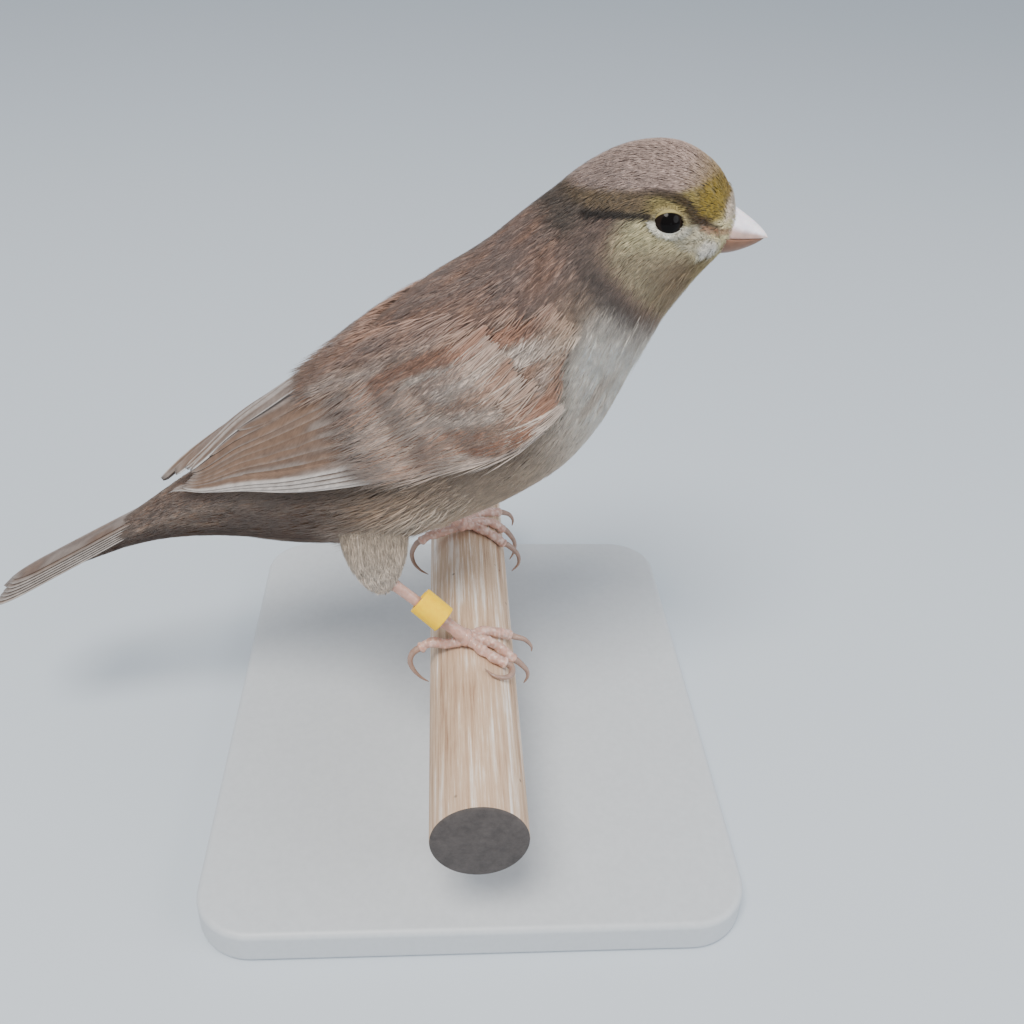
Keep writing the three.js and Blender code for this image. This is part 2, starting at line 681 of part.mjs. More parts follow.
[
  ['left', 1, LEFT_TOES],
  ['right', -1, RIGHT_TOES],
].forEach(([side, mirror, toes]) => {
  const footSolid = foot(toes, mirror);
  const tarsus = shank(mirror).subtract(foot(toes, mirror, GAP + 0.08));
  const tuft = thigh(mirror).subtract(keepOut).subtract(shank(mirror, GAP + 0.1));
  bird.add(
    toMesh(`thigh_${side}`, tuft, paleFeathers),
    toMesh(`tarsus_${side}`, tarsus, legSkin),
    toMesh(`foot_${side}`, footSolid, legSkin),
  );
});
bird.add(toMesh('leg_ring', legRing(), yellowPlastic));

// The perch: a round wooden dowel with both ends cut square.
const perchProfile = [
  new THREE.Vector2(0, -PERCH_LENGTH / 2),
  new THREE.Vector2(PERCH_DIAMETER / 2 - PERCH_CHAMFER, -PERCH_LENGTH / 2),
  new THREE.Vector2(PERCH_DIAMETER / 2, -PERCH_LENGTH / 2 + PERCH_CHAMFER),
  new THREE.Vector2(PERCH_DIAMETER / 2, PERCH_LENGTH / 2 - PERCH_CHAMFER),
  new THREE.Vector2(PERCH_DIAMETER / 2 - PERCH_CHAMFER, PERCH_LENGTH / 2),
  new THREE.Vector2(0, PERCH_LENGTH / 2),
];
const perch = new THREE.Mesh(new THREE.LatheGeometry(perchProfile, PERCH_SIDES), perchWood);
perch.name = 'perch';
perch.position.z = PERCH_TOP - PERCH_DIAMETER / 2;

// The stand: a flat base and two rods whose saddled tops carry the perch.
const outline = new THREE.Shape();
const bx = BASE_LENGTH / 2 - 1;
const by = BASE_WIDTH / 2 - 1;
const bc = BASE_CORNER - 1;
outline.moveTo(-bx + bc, -by);
outline.lineTo(bx - bc, -by);
outline.absarc(bx - bc, -by + bc, bc, -Math.PI / 2, 0);
outline.lineTo(bx, by - bc);
outline.absarc(bx - bc, by - bc, bc, 0, Math.PI / 2);
outline.lineTo(-bx + bc, by);
outline.absarc(-bx + bc, by - bc, bc, Math.PI / 2, Math.PI);
outline.lineTo(-bx, -by + bc);
outline.absarc(-bx + bc, -by + bc, bc, Math.PI, 1.5 * Math.PI);
const plate = new THREE.ExtrudeGeometry(outline, {
  depth: BASE_THICKNESS - 2,
  bevelThickness: 1,
  bevelSize: 1,
  bevelSegments: 1,
  curveSegments: 4,
});
plate.translate(0, 0, 1);
const base = new THREE.Mesh(plate, standPaint);
base.name = 'stand_base';

const stand = new THREE.Group();
stand.add(base, perch);
const saddle = new THREE.CylinderGeometry(
  PERCH_DIAMETER / 2 + GAP + 0.05, PERCH_DIAMETER / 2 + GAP + 0.05, PERCH_LENGTH, PERCH_SIDES * 2);
saddle.translate(0, 0, PERCH_TOP - PERCH_DIAMETER / 2);
[
  ['stand_rod_near', -1],
  ['stand_rod_far', 1],
].forEach(([name, sign]) => {
  const height = ROD_HEIGHT + 2;
  const rod = new THREE.CylinderGeometry(ROD_DIAMETER / 2, ROD_DIAMETER / 2, height, 20);
  rod.rotateX(Math.PI / 2);
  rod.translate(0, (sign * ROD_SPACING) / 2, BASE_THICKNESS + GAP + 0.02 + height / 2);
  stand.add(toMesh(name, toSolid(rod).subtract(toSolid(saddle)), rodSteel));
});

const canary = new THREE.Group();
canary.add(bird, stand);

export default canary;
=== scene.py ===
import bpy
import math
import numpy as np
from mathutils import Matrix, Vector


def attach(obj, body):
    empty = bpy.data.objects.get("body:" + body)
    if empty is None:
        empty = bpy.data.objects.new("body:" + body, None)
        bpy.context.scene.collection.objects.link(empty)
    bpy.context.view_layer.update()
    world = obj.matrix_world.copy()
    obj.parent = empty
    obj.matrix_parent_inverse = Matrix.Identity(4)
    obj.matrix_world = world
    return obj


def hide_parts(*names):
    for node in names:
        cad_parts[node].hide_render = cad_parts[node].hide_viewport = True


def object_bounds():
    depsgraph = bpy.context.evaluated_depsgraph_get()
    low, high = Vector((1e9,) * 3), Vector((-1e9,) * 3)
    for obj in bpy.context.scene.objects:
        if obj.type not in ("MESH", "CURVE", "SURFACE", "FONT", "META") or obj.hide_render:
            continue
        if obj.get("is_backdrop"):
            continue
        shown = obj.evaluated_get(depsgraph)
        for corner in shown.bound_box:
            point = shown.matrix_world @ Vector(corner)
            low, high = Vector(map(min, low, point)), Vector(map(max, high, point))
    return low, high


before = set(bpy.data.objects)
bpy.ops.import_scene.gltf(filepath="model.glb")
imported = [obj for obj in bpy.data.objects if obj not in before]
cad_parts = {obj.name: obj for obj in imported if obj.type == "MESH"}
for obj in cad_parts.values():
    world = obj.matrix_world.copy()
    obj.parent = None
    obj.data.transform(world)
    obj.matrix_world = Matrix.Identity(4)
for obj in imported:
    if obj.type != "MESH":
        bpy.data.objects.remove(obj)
cad_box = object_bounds()
bpy.ops.object.select_all(action="DESELECT")

# ---- Skin ----
# One smooth skin covers the bird from the tail coverts to the bill, in the plumage's colours darkened as
# painted shade under the coat. It is drawn through the same sections across the body as the solids, and lies
# under the coat by the coat's depth.
MM = 0.001
PERCH_TOP = 32.0
UP = np.array([0, 0, PERCH_TOP])
# Each section in mm: its place (x, z), its slope in degrees, the heights over and under its middle and half
# its width. Stations count them from the tail on, and 0 is the third one.
BODY = {
    "tail_over": (-67.5, 5.0, 30, 1.0, 1.0, 2.0),
    "tail_start": (-62.2, 8.0, 30, 1.3, 1.6, 2.5),
    "tail_coverts": (-56.8, 11.1, 30, 1.6, 2.4, 3.2),
    "tail_base": (-51.2, 14.2, 28, 2.4, 3.8, 4.6),
    "vent": (-45.6, 17.0, 25, 3.6, 6.0, 6.0),
    "lower_rump": (-39.5, 19.1, 23, 5.4, 8.0, 7.6),
    "rump": (-32.8, 21.5, 21, 8.6, 11.2, 9.6),
    "thighs": (-26.0, 23.6, 23, 10.8, 13.4, 11.4),
    "belly": (-19.3, 26.0, 28, 13.0, 15.2, 12.7),
    "loin": (-12.2, 29.6, 34, 14.6, 16.8, 13.5),
    "back": (-5.4, 33.8, 40, 15.6, 17.8, 13.9),
    "flank": (1.6, 38.7, 44, 16.3, 17.8, 14.0),
    "breast": (7.4, 44.4, 46, 15.9, 16.3, 13.8),
    "mantle": (11.7, 50.7, 48, 14.5, 14.6, 13.0),
    "lower_neck": (15.7, 56.2, 48, 13.1, 13.0, 11.4),
    "upper_neck": (18.8, 59.5, 46, 12.5, 11.6, 10.2),
    "nape": (21.7, 62.2, 37, 12.3, 11.0, 9.6),
    "crown": (25.2, 64.5, 27, 11.7, 9.9, 9.2),
    "brow": (29.2, 65.4, 16, 10.6, 7.5, 8.1),
    "forehead": (32.5, 65.3, 7, 7.9, 5.1, 5.6),
    "lores": (34.2, 64.6, -3, 4.7, 3.7, 3.4),
    "bill_base": (34.9, 64.2, -6, 2.7, 2.9, 2.7),
}
COLUMNS = np.array(list(BODY.values()), float).T
STATIONS_BEHIND = 2
HEAD_TURN = math.radians(6)


def unit(vectors):
    """The vectors with length 1."""
    return vectors / np.linalg.norm(vectors, axis=-1, keepdims=True)


def follow(values, t):
    """A smooth curve through a row of numbers, one at each whole value of t."""
    values = np.asarray(values, float)
    last = len(values) - 1
    i = np.clip(np.floor(t).astype(int), 0, last - 1)
    f = t - i
    a, b, c, d = (values[np.clip(i + k, 0, last)] for k in (-1, 0, 1, 2))
    return b + 0.5 * f * (c - a + f * (2 * a - 5 * b + 4 * c - d + f * (3 * (b - c) + d - a)))


def section(s):
    """The section of the body at station s."""
    x, z, slope, back, belly, half = (follow(column, s + STATIONS_BEHIND) for column in COLUMNS)
    return x, z, np.radians(slope), back, belly, half


def smooth(low, high, value):
    """0 at low, 1 at high, with a soft step between; low may be the greater one."""
    t = np.clip((value - low) / (high - low), 0, 1)
    return t * t * (3 - 2 * t)


NECK_PIVOT = float(section(np.array(12.5))[0])


def turn_head(p):
    """Turns points of the neck and head a little to the bird's right."""
    angle = -HEAD_TURN * smooth(48, 70, p[..., 0] + 0.7 * p[..., 2])
    dx = p[..., 0] - NECK_PIVOT
    return np.stack([
        NECK_PIVOT + dx * np.cos(angle) - p[..., 1] * np.sin(angle),
        dx * np.sin(angle) + p[..., 1] * np.cos(angle),
        p[..., 2],
    ], -1)


def on_body(s, angle, lift):
    """A point over the body at station s; the angle runs from the back over the bird's right side."""
    x, z, slope, back, belly, half = section(s)
    c = np.cos(angle)
    up = (np.where(c > 0, back, belly) + lift) * c
    point = np.stack([x - up * np.sin(slope), -(half + lift) * np.sin(angle), z + up * np.cos(slope)], -1)
    return turn_head(point) + UP


def metric(surface, s, angle):
    """Millimetres of the surface for one station and for one radian."""
    e = 0.02
    along = np.linalg.norm(surface(s + e, angle, 0.0) - surface(s - e, angle, 0.0), axis=-1) / (2 * e)
    across = np.linalg.norm(surface(s, angle + e, 0.0) - surface(s, angle - e, 0.0), axis=-1) / (2 * e)
    return np.maximum(along, 0.3), np.maximum(across, 0.6)


# The colours of a brown, lightly yellow canary, in zones over the body: pinkish crown, olive-yellow forehead,
# dark brow and eye line, beige cheek, greyish neck, cream breast, brown back, tan flanks and belly.
CROWN = (0.45, 0.335, 0.29)
CROWN_BACK = (0.135, 0.103, 0.082)
OLIVE = (0.265, 0.19, 0.032)
DARK_LINE = (0.045, 0.025, 0.013)
EYE_STRIPE = (0.02, 0.012, 0.008)
LORES = (0.05, 0.027, 0.014)
BEHIND_BROW = (0.20, 0.14, 0.08)
OVER_EYE = (0.31, 0.25, 0.10)
ABOVE_RING = (0.40, 0.33, 0.18)
CHEEK = (0.62, 0.55, 0.33)
CHEEK_BACK = (0.36, 0.24, 0.17)
THROAT = (0.42, 0.325, 0.17)
BY_EYE = (0.46, 0.43, 0.35)
CHEEK_LOW = (0.29, 0.21, 0.155)
GAPE = (0.80, 0.77, 0.72)
GAPE_SKIN = (0.36, 0.20, 0.12)
BRISTLES = (0.66, 0.57, 0.50)
NECK = (0.168, 0.128, 0.108)
BREAST = (0.95, 0.87, 0.77)
BACK = (0.36, 0.235, 0.185)
RUFOUS = (0.335, 0.185, 0.12)
GREY_BROWN = (0.35, 0.255, 0.215)
FLANK = (0.39, 0.285, 0.205)
BELLY = (0.56, 0.45, 0.345)
VENT = (0.102, 0.05, 0.026)
PALE_DOWN = (0.57, 0.52, 0.47)
THIGH_TOP = (0.62, 0.54, 0.45)
RUMP = (0.27, 0.17, 0.115)
EYE_RING = (0.86, 0.82, 0.70)
# Lines over the head by points (x, z) of the unturned head, the eye's place and half the width and height of
# its opening.
BROW_LINE = [(20.6, 70.2), (21.8, 70.6), (23.7, 70.6), (25.7, 70.2), (27.1, 69.6), (28.1, 68.5), (28.8, 67.4),
             (30.5, 66.5), (32.3, 65.7)]
EYE_LINE = [(22.9, 67.5), (19.7, 67.4), (17.6, 67.4), (15.3, 67.2), (13.6, 67.0)]
MOUTH_LINE = [(30.0, 66.2), (32.0, 65.4), (34.5, 64.6)]
EYE = (15.30, math.radians(78))
EYE_FREE = (2.0, 1.38)
EYE_TILT = math.radians(22)


def plain(shape, colour):
    """One colour for every point of an array of this shape."""
    return np.ones(tuple(shape) + (3,)) * np.array(colour)


def toward(base, colour, amount):
    """Colours moved towards another by an amount from 0 to 1 at each point."""
    return base + (np.array(colour) - base) * np.asarray(amount)[..., None]


def from_line(x, z, line):
    """The distance of points from a broken line, and how far along it they are, from 0 to 1."""
    best, place = np.full(x.shape, 99.0), np.zeros(x.shape)
    for k, ((x0, z0), (x1, z1)) in enumerate(zip(line, line[1:])):
        dx, dz = x1 - x0, z1 - z0
        t = np.clip(((x - x0) * dx + (z - z0) * dz) / (dx * dx + dz * dz), 0, 1)
        away = np.hypot(x - x0 - t * dx, z - z0 - t * dz)
        place = np.where(away < best, (k + t) / (len(line) - 1), place)
        best = np.minimum(best, away)
    return best, place


def mottle(u, v, seed):
    """Smooth random patches from 0 to 1, one cell of u and v wide."""
    lattice = np.random.default_rng(seed).random((48, 48))
    i, j = np.floor(u).astype(int), np.floor(v).astype(int)
    f, g = u - i, v - j
    f, g = f * f * (3 - 2 * f), g * g * (3 - 2 * g)
    corner = lambda a, b: lattice[(i + a) % 48, (j + b) % 48]
    low = corner(0, 0) + f * (corner(1, 0) - corner(0, 0))
    high = corner(0, 1) + f * (corner(1, 1) - corner(0, 1))
    return low + g * (high - low)


def from_back(angle):
    """The angle down from the middle of the back, on either side."""
    return np.abs((angle + np.pi) % (2 * np.pi) - np.pi)


def from_eye(s, angle, back=0.0):
    """Places from the nearer eye, level and upright, in eye openings; back moves them along the lie."""
    along, across = metric(on_body, np.full(1, EYE[0]), np.full(1, EYE[1]))
    x, y = (s - EYE[0]) * along[0] - back, (EYE[1] - from_back(angle)) * across[0]
    level = x * math.cos(EYE_TILT) - y * math.sin(EYE_TILT)
    height = y * math.cos(EYE_TILT) + x * math.sin(EYE_TILT)
    return level / EYE_FREE[0], height / EYE_FREE[1]


def near_eye(s, angle, back=0.0):
    return np.hypot(*from_eye(s, angle, back))


def plumage(s, angle):
    """The colour of the plumage at a place on the body, the same on both sides."""
    degrees = np.degrees(from_back(angle))
    x, z, slope, back, belly, _ = section(s)
    c = np.cos(angle)
    up = np.where(c > 0, back, belly) * c
    hx, hz = x - up * np.sin(slope), z + up * np.cos(slope)
    streaks = mottle(s * 1.1 + 9, angle * 5.5 + 20, 4) * 0.6 + mottle(s * 2.3 + 5, angle * 12 + 31, 5) * 0.4

    # Back, rump, flanks, belly and under tail coverts, with painted shade where the wing's lower edge meets
    # them.
    colour = toward(plain(s.shape, BACK), RUFOUS, 0.55 * smooth(0.5, 0.72, streaks))
    colour = toward(colour, GREY_BROWN, 0.6 * smooth(0.5, 0.3, streaks))
    colour = toward(colour, RUMP, 0.7 * smooth(8, 4, s) * smooth(90, 60, degrees))
    colour = toward(colour, FLANK, smooth(55, 95, degrees))
    colour = toward(colour, BELLY, smooth(98, 135, degrees) * smooth(5.5, 7.5, s))
    colour = toward(colour, VENT, smooth(7.2, 4.6, s) * smooth(60, 95, degrees))
    # Painted shade along the folded wing's lower edge, where the wing shadows the flank.
    wing_foot = np.interp(s, [2, 5, 6.7, 8, 9, 10], [52, 74, 86, 98, 108, 112])
    colour = colour * (1 - 0.22 * smooth(22, 5, np.abs(degrees - wing_foot)) * smooth(10, 8.6, s))[..., None]
    colour = toward(colour, PALE_DOWN, 0.45 * smooth(5.5, 4, s) * smooth(150, 172, degrees))
    by_thigh = 0.75 * np.exp(-((s - 6.3) / 0.8) ** 2 - ((degrees - 124) / 13) ** 2)
    colour = toward(colour, THIGH_TOP, by_thigh)
    contrast = 0.28 + 0.34 * smooth(80, 110, degrees) * smooth(9.5, 8, s)
    colour = colour * (1 + contrast * (streaks - 0.5))[..., None]

    # Breast with a few tan streaks, and the neck's grey-brown collar.
    colour = toward(colour, BREAST, smooth(8.9, 11.0, s + (degrees - 110) * 0.018) * smooth(82, 106, degrees))
    streaked = smooth(0.55, 0.75, streaks) * smooth(12.0, 10.5, s) * smooth(75, 110, degrees)
    colour = toward(colour, FLANK, 0.45 * streaked)
    side = smooth(45, 80, degrees) * (1 - 0.35 * smooth(140, 172, degrees))
    colour = toward(colour, NECK, smooth(11.3, 12.5, s - 0.3 * smooth(100, 150, degrees)) * side)
    colour = toward(colour, CROWN_BACK, smooth(11.6, 12.8, s) * smooth(75, 35, degrees))

    # Cheek, throat, crown and forehead.
    head = smooth(12.7, 13.5, s)
    behind = smooth(12.5, 13.5, s + (degrees - 60) * 0.004)
    colour = toward(colour, CHEEK_BACK, behind * smooth(60, 75, degrees))
    colour = toward(colour, CHEEK, smooth(15.5, 20, hx - 0.45 * (hz - 64)) * head)
    colour = toward(colour, THROAT, smooth(62.6, 60.2, hz) * smooth(22, 27, hx) * smooth(12.8, 13.6, s))
    colour = toward(colour, CHEEK_LOW, 0.6 * smooth(65.0, 61.5, hz) * head * smooth(31, 28, hx))
    above = smooth(67.4, 68.3, hz) * smooth(13.0, 13.6, s)
    colour = toward(colour, BEHIND_BROW, above)
    colour = toward(colour, OVER_EYE, above * smooth(20.6, 23.6, hx) * smooth(30.5, 28, hx))
    crown = smooth(69.9, 71.1, hz + 0.10 * (20 - np.minimum(hx, 20)) - 0.25 * np.maximum(hx - 25.5, 0))
    colour = toward(colour, CROWN, crown * smooth(12.8, 13.7, s))
    front = smooth(24.2, 30.4, hx + 0.5 * (69.5 - hz)) * smooth(66.2, 67.2, hz)
    strong = 0.55 + 0.45 * smooth(2.9, 1.2, np.hypot(hx - 31.2, (hz - 69.2) * 0.7))
    colour = toward(colour, OLIVE, front * strong)

    # Brow and eye line, the eye's pale ring, lores, gape and the bristles over the bill.
    brow, along = from_line(hx, hz, BROW_LINE)
    broad = np.interp(along, [0, 0.25, 0.5, 0.8, 1], [0.5, 0.75, 1.0, 1.15, 0.6])
    strong = np.interp(along, [0, 0.2, 0.5, 1], [0.35, 0.75, 0.9, 0.85])
    colour = toward(colour, DARK_LINE, strong * smooth(1.0, 0.35, brow / broad) * smooth(14.2, 14.8, s))
    line = from_line(hx, hz, EYE_LINE)[0]
    colour = toward(colour, EYE_STRIPE, 0.97 * smooth(0.75, 0.35, line) * smooth(12.6, 13.2, s))
    level, height = from_eye(s, angle)
    ring = np.hypot(level, height * 0.92)
    colour = toward(colour, ABOVE_RING, 0.75 * smooth(1.45, 1.1, ring) * smooth(-0.2, 0.3, height))
    under = smooth(0.15, -0.3, height + 0.05 * level) * smooth(13.5, 14, s)
    colour = toward(colour, EYE_RING, 0.9 * smooth(1.75, 1.4, ring) * under)
    colour = toward(colour, LORES, 0.8 * smooth(2.0, 0.7, np.hypot(hx - 29.7, (hz - 66.9) * 1.7)))
    under = smooth(3.2, 2.0, np.hypot(hx - 28.6, (hz - 64.9) * 1.5))
    colour = toward(colour, BY_EYE, 0.7 * under * smooth(14, 15, s))
    mouth = from_line(hx, hz, MOUTH_LINE)[0]
    colour = toward(colour, GAPE_SKIN, 0.7 * smooth(0.6, 0.2, mouth) * smooth(15.5, 16, s))
    gape = 0.85 * smooth(2.2, 0.9, np.hypot(hx - 31.2, (hz - 63.0) * 1.1))
    colour = toward(colour, GAPE, gape * smooth(14, 15, s))
    bristles = smooth(32.9, 33.8, hx) * smooth(65.8, 66.8, hz) * smooth(69.6, 68.2, hz)
    return toward(colour, BRISTLES, 0.75 * bristles)


def solid_mesh(name, points, triangles, colours, bake=None):
    """One mesh object from arrays, in metres, with its colours and its map for baking."""
    mesh = bpy.data.meshes.new(name)
    mesh.vertices.add(len(points))
    mesh.vertices.foreach_set("co", (np.asarray(points, np.float32) * MM).ravel())
    mesh.loops.add(triangles.size)
    mesh.loops.foreach_set("vertex_index", triangles.astype(np.int32).ravel())
    mesh.polygons.add(len(triangles))
    mesh.polygons.foreach_set("loop_start", np.arange(0, triangles.size, 3, dtype=np.int32))
    mesh.polygons.foreach_set("use_smooth", np.ones(len(triangles), bool))
    mesh.update(calc_edges=True)
    layer = mesh.color_attributes.new("Plumage", "FLOAT_COLOR", "POINT")
    rgba = np.ones((len(points), 4), np.float32)
    rgba[:, :3] = colours
    layer.data.foreach_set("color", rgba.ravel())
    if bake is not None:
        uv = mesh.uv_layers.new(name="OFBake")
        uv.data.foreach_set("uv", bake[triangles.ravel()].astype(np.float32).ravel())
    piece = bpy.data.objects.new(name, mesh)
    bpy.context.scene.collection.objects.link(piece)
    return piece


def bake_place(s, angle):
    """The place of a root on the unwrap of the skin: round the body and along it."""
    return np.stack([0.02 + 0.96 * ((angle / (2 * np.pi)) % 1), 0.02 + 0.96 * (s + 2) / 21.5], -1)


def wire(tree, nodes, links):
    """Adds nodes to a tree, {name: (type or existing node, {input or property: value})}, and links between
    them, "name.output > name.input"."""
    made = {}
    for name, (kind, values) in nodes.items():
        node = made[name] = tree.nodes.get(kind) or tree.nodes.new(kind)
        for key, value in values.items():
            if key == "stops":
                stops = node.color_ramp.elements
                while len(stops) < len(value):
                    stops.new(0.5)
                for stop, (position, colour) in zip(stops, value):
                    stop.position = position
                    stop.color = (*colour, 1)
            elif isinstance(key, int) or key in node.inputs:
                node.inputs[key].default_value = value
            else:
                setattr(node, key, value)
    for link in links:
        (start, output), (end, entry) = (part.split(".") for part in link.split(" > "))
        entry = int(entry) if entry.isdigit() else entry
        tree.links.new(made[start].outputs[output], made[end].inputs[entry])


def new_group(name, inputs, outputs, nodes, links):
    """A group of nodes that several materials share, with its sockets as {name: kind}."""
    group = bpy.data.node_groups.new(name, "ShaderNodeTree")
    for way, sockets in (("INPUT", inputs), ("OUTPUT", outputs)):
        for socket, kind in sockets.items():
            group.interface.new_socket(name=socket, in_out=way, socket_type="NodeSocket" + kind)
    wire(group, {"given": ("NodeGroupInput", {}), "out": ("NodeGroupOutput", {}), **nodes}, links)
    return group


def new_material(name, nodes, links=()):
    material = bpy.data.materials.new(name)
    material.use_nodes = True
    wire(material.node_tree, nodes, links)
    return material


fine_grain = new_group("fine_grain", {"Colour": "Color"}, {"Colour": "Color", "Grain": "Float"}, {
    "place": ("ShaderNodeTexCoord", {}),
    "noise": ("ShaderNodeTexNoise", {"Scale": 900, "Detail": 3}),
    "tone": ("ShaderNodeMapRange", {"From Min": 0.3, "From Max": 0.7, "To Min": 0.86, "To Max": 1.14}),
    "mix": ("ShaderNodeVectorMath", {"operation": "SCALE"}),
}, ["place.Object > noise.Vector", "noise.Fac > tone.Value", "given.Colour > mix.0",
    "tone.Result > mix.Scale", "mix.Vector > out.Colour", "noise.Fac > out.Grain"])


def feather_material(name, roughness, sheen, relief=0.0, gloss=0.25, soft=0.0, soft_radius=(1.0, 0.2, 0.1)):
    """Plumage, horn or skin: the colour from the mesh, a fine grain in it, and a soft, slightly silky
    surface. Light goes into horn and skin by soft, and spreads by soft_radius."""
    material = new_material(name, {
        "shader": ("Principled BSDF", {
            "Roughness": roughness, "Specular IOR Level": gloss, "Sheen Weight": sheen,
            "Sheen Roughness": 0.5, "Subsurface Weight": soft, "Subsurface Radius": soft_radius}),
        "colour": ("ShaderNodeAttribute", {"attribute_name": "Plumage"}),
        "grain": ("ShaderNodeGroup", {"node_tree": fine_grain}),
    }, ["colour.Color > grain.Colour", "grain.Colour > shader.Base Color"])
    if relief:
        wire(material.node_tree, {
            "shader": ("Principled BSDF", {}),
            "grain": ("Group", {}),
            "bump": ("ShaderNodeBump", {"Strength": relief, "Distance": 0.0004}),
        }, ["grain.Grain > bump.Height", "bump.Normal > shader.Normal"])
    return material


body_feathers = feather_material("body_feathers", 0.75, 0.15)


def coat_depth(s):
    """How deep the skin lies under the coat's surface."""
    return np.interp(s, [-2, 0, 4, 9, 12, 14, 17, 19], [0.3, 0.6, 1.1, 1.3, 1.2, 0.8, 0.5, 0.35])


def tube_faces(rows, sides):
    """The triangles of a closed tube: rings of points one after the other, then a point for each end."""
    ring = np.arange(rows * sides).reshape(rows, sides)
    beside = np.roll(ring, -1, 1)
    quads = np.stack([ring[:-1], beside[:-1], beside[1:], ring[1:]], -1).reshape(-1, 4)
    ends = np.full(sides, rows * sides), np.full(sides, rows * sides + 1)
    return np.concatenate([quads[:, [0, 1, 2]], quads[:, [0, 2, 3]],
                           np.stack([beside[0], ring[0], ends[0]], -1),
                           np.stack([ring[-1], beside[-1], ends[1]], -1)])


def skin_mesh(name, surface, s_values, angles, depth, colour, bake_of):
    """A closed skin under a surface, shaded as under feathers."""
    s, a = np.meshgrid(s_values, angles, indexing="ij")
    points = surface(s, a, -depth(s))
    end_s, end_a = s[[0, -1], 0], a[[0, -1], 0]
    ends = np.stack([points[0].mean(0), points[-1].mean(0)])
    # The skin's colours are 0.65 of the plumage's: painted shade under the coat.
    return solid_mesh(name, np.concatenate([points.reshape(-1, 3), ends]), tube_faces(*s.shape)[:, ::-1],
                      np.concatenate([colour(s, a).reshape(-1, 3), colour(end_s, end_a)]) * 0.65,
                      np.concatenate([bake_of(s, a).reshape(-1, 2), bake_of(end_s, end_a)]))


skin = skin_mesh("skin", on_body, np.linspace(-1.2, 19, 240), np.linspace(0, 2 * np.pi, 120, endpoint=False),
                 coat_depth, plumage, bake_place)
skin.data.materials.append(body_feathers)
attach(skin, "root")
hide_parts("torso", "rump", "neck", "head")


# ---- The coat of the head and body ----
# Small feathers in offset rows from the bill back: fine and short on the face and crown, longer on the neck,
# full and soft on the breast and belly, and long over the root of the tail. Each barb is a thin closed blade.
rng = np.random.default_rng(11)


def blades(surface, s, angle, x, y, z, width, thick):
    """Closed blades over a surface, as points and triangles. x, y and z are (blades, stations) in mm from
    each root: along the lie, across it and over the surface. A blade has rings of three points, and one at
    its tip."""
    count, stations = x.shape
    along, across = metric(surface, s, angle)
    dx, dy = np.gradient(x, axis=1), np.gradient(y, axis=1)
    size = np.maximum(np.hypot(dx, dy), 1e-6)
    nx, ny = -dy / size, dx / size
    ring_x = np.stack([x - nx * width, x + nx * width, x], -1)
    ring_y = np.stack([y - ny * width, y + ny * width, y], -1)
    ring_z = np.stack([z, z, z + thick], -1)
    points = surface(
        s[:, None, None] - ring_x / along[:, None, None],
        angle[:, None, None] + ring_y / across[:, None, None],
        ring_z,
    )
    points = points.reshape(count, stations * 3, 3)[:, : stations * 3 - 2]
    tip = stations * 3 - 3
    faces = [(0, 2, 1)]
    for i in range(stations - 2):
        for p, q in ((0, 1), (1, 2), (2, 0)):
            a, b, c, d = 3 * i + p, 3 * i + q, 3 * i + 3 + q, 3 * i + 3 + p
            faces += [(a, b, c), (a, c, d)]
    last = 3 * (stations - 2)
    faces += [(last, last + 1, tip), (last + 1, last + 2, tip), (last + 2, last, tip)]
    points[:, tip] = surface(
        s - x[:, -1] / along, angle + y[:, -1] / across, z[:, -1] + thick[:, -1] * 0.3
    )
    each = stations * 3 - 2
    triangles = np.array(faces)[None] + (np.arange(count) * each)[:, None, None]
    return points, triangles.reshape(-1, 3), each


BARB_TAPER = {3: (0.75, 1.0, 0.4), 4: (0.75, 1.0, 0.8, 0.4)}


def tufts(surface, s, angle, length, half, barbs, sink, rise, lie, stations=3, strand=0.11, ragged=0.16):
    """Small feathers as fans of barbs. Arrays give each tuft's root, length, half width and lie. Returns
    points and triangles, each point's share along its barb and across its tuft, and the roots and tips of the
    barbs."""
    count = len(s)
    q = np.linspace(-1, 1, barbs)[None] + rng.uniform(-0.5, 0.5, (count, barbs)) * (1.6 / barbs)
    reach = length[:, None] * np.sqrt(np.maximum(0.2, 1 - 0.55 * q * q))
    reach = reach * rng.uniform(1 - ragged, 1 + ragged, q.shape)
    begin = rng.uniform(-0.12, 0.12, q.shape) * length[:, None]
    t = np.linspace(0, 1, stations)
    x = begin[..., None] + reach[..., None] * t
    y = half[:, None, None] * q[..., None] * (0.45 + 0.55 * t ** 0.8)
    wave = rng.normal(0, 0.05, q.shape)[..., None] * length[:, None, None]
    y = y + wave * t ** 2
    lifted = rng.uniform(-0.35, 0.5, q.shape)[..., None] * rise[:, None, None] * 0.5
    z = -sink[:, None, None] + (sink + rise)[:, None, None] * t ** 0.5 + lifted * t
    turn = lie[:, None, None]
    x, y = x * np.cos(turn) - y * np.sin(turn), x * np.sin(turn) + y * np.cos(turn)
    flat = lambda v: np.broadcast_to(v, x.shape).reshape(-1, stations)
    scale = rng.uniform(0.8, 1.25, q.shape)[..., None] * strand * (half / half.mean())[:, None, None] ** 0.5
    width, z = flat(scale * np.array(BARB_TAPER[stations])), flat(z)
    root_s, root_a = np.repeat(s, barbs), np.repeat(angle, barbs)
    points, triangles, each = blades(surface, root_s, root_a, flat(x), flat(y), z, width, width * 0.55)
    ring = np.minimum(np.arange(each) // 3, stations - 1)
    along = np.broadcast_to(t[ring], points.shape[:2])
    middle = np.broadcast_to(q.reshape(-1, 1), points.shape[:2])
    seen = np.stack([flat(x)[:, -2:].mean(1), flat(y)[:, -2:].mean(1)])
    return points, triangles, along, middle, root_s, root_a, seen


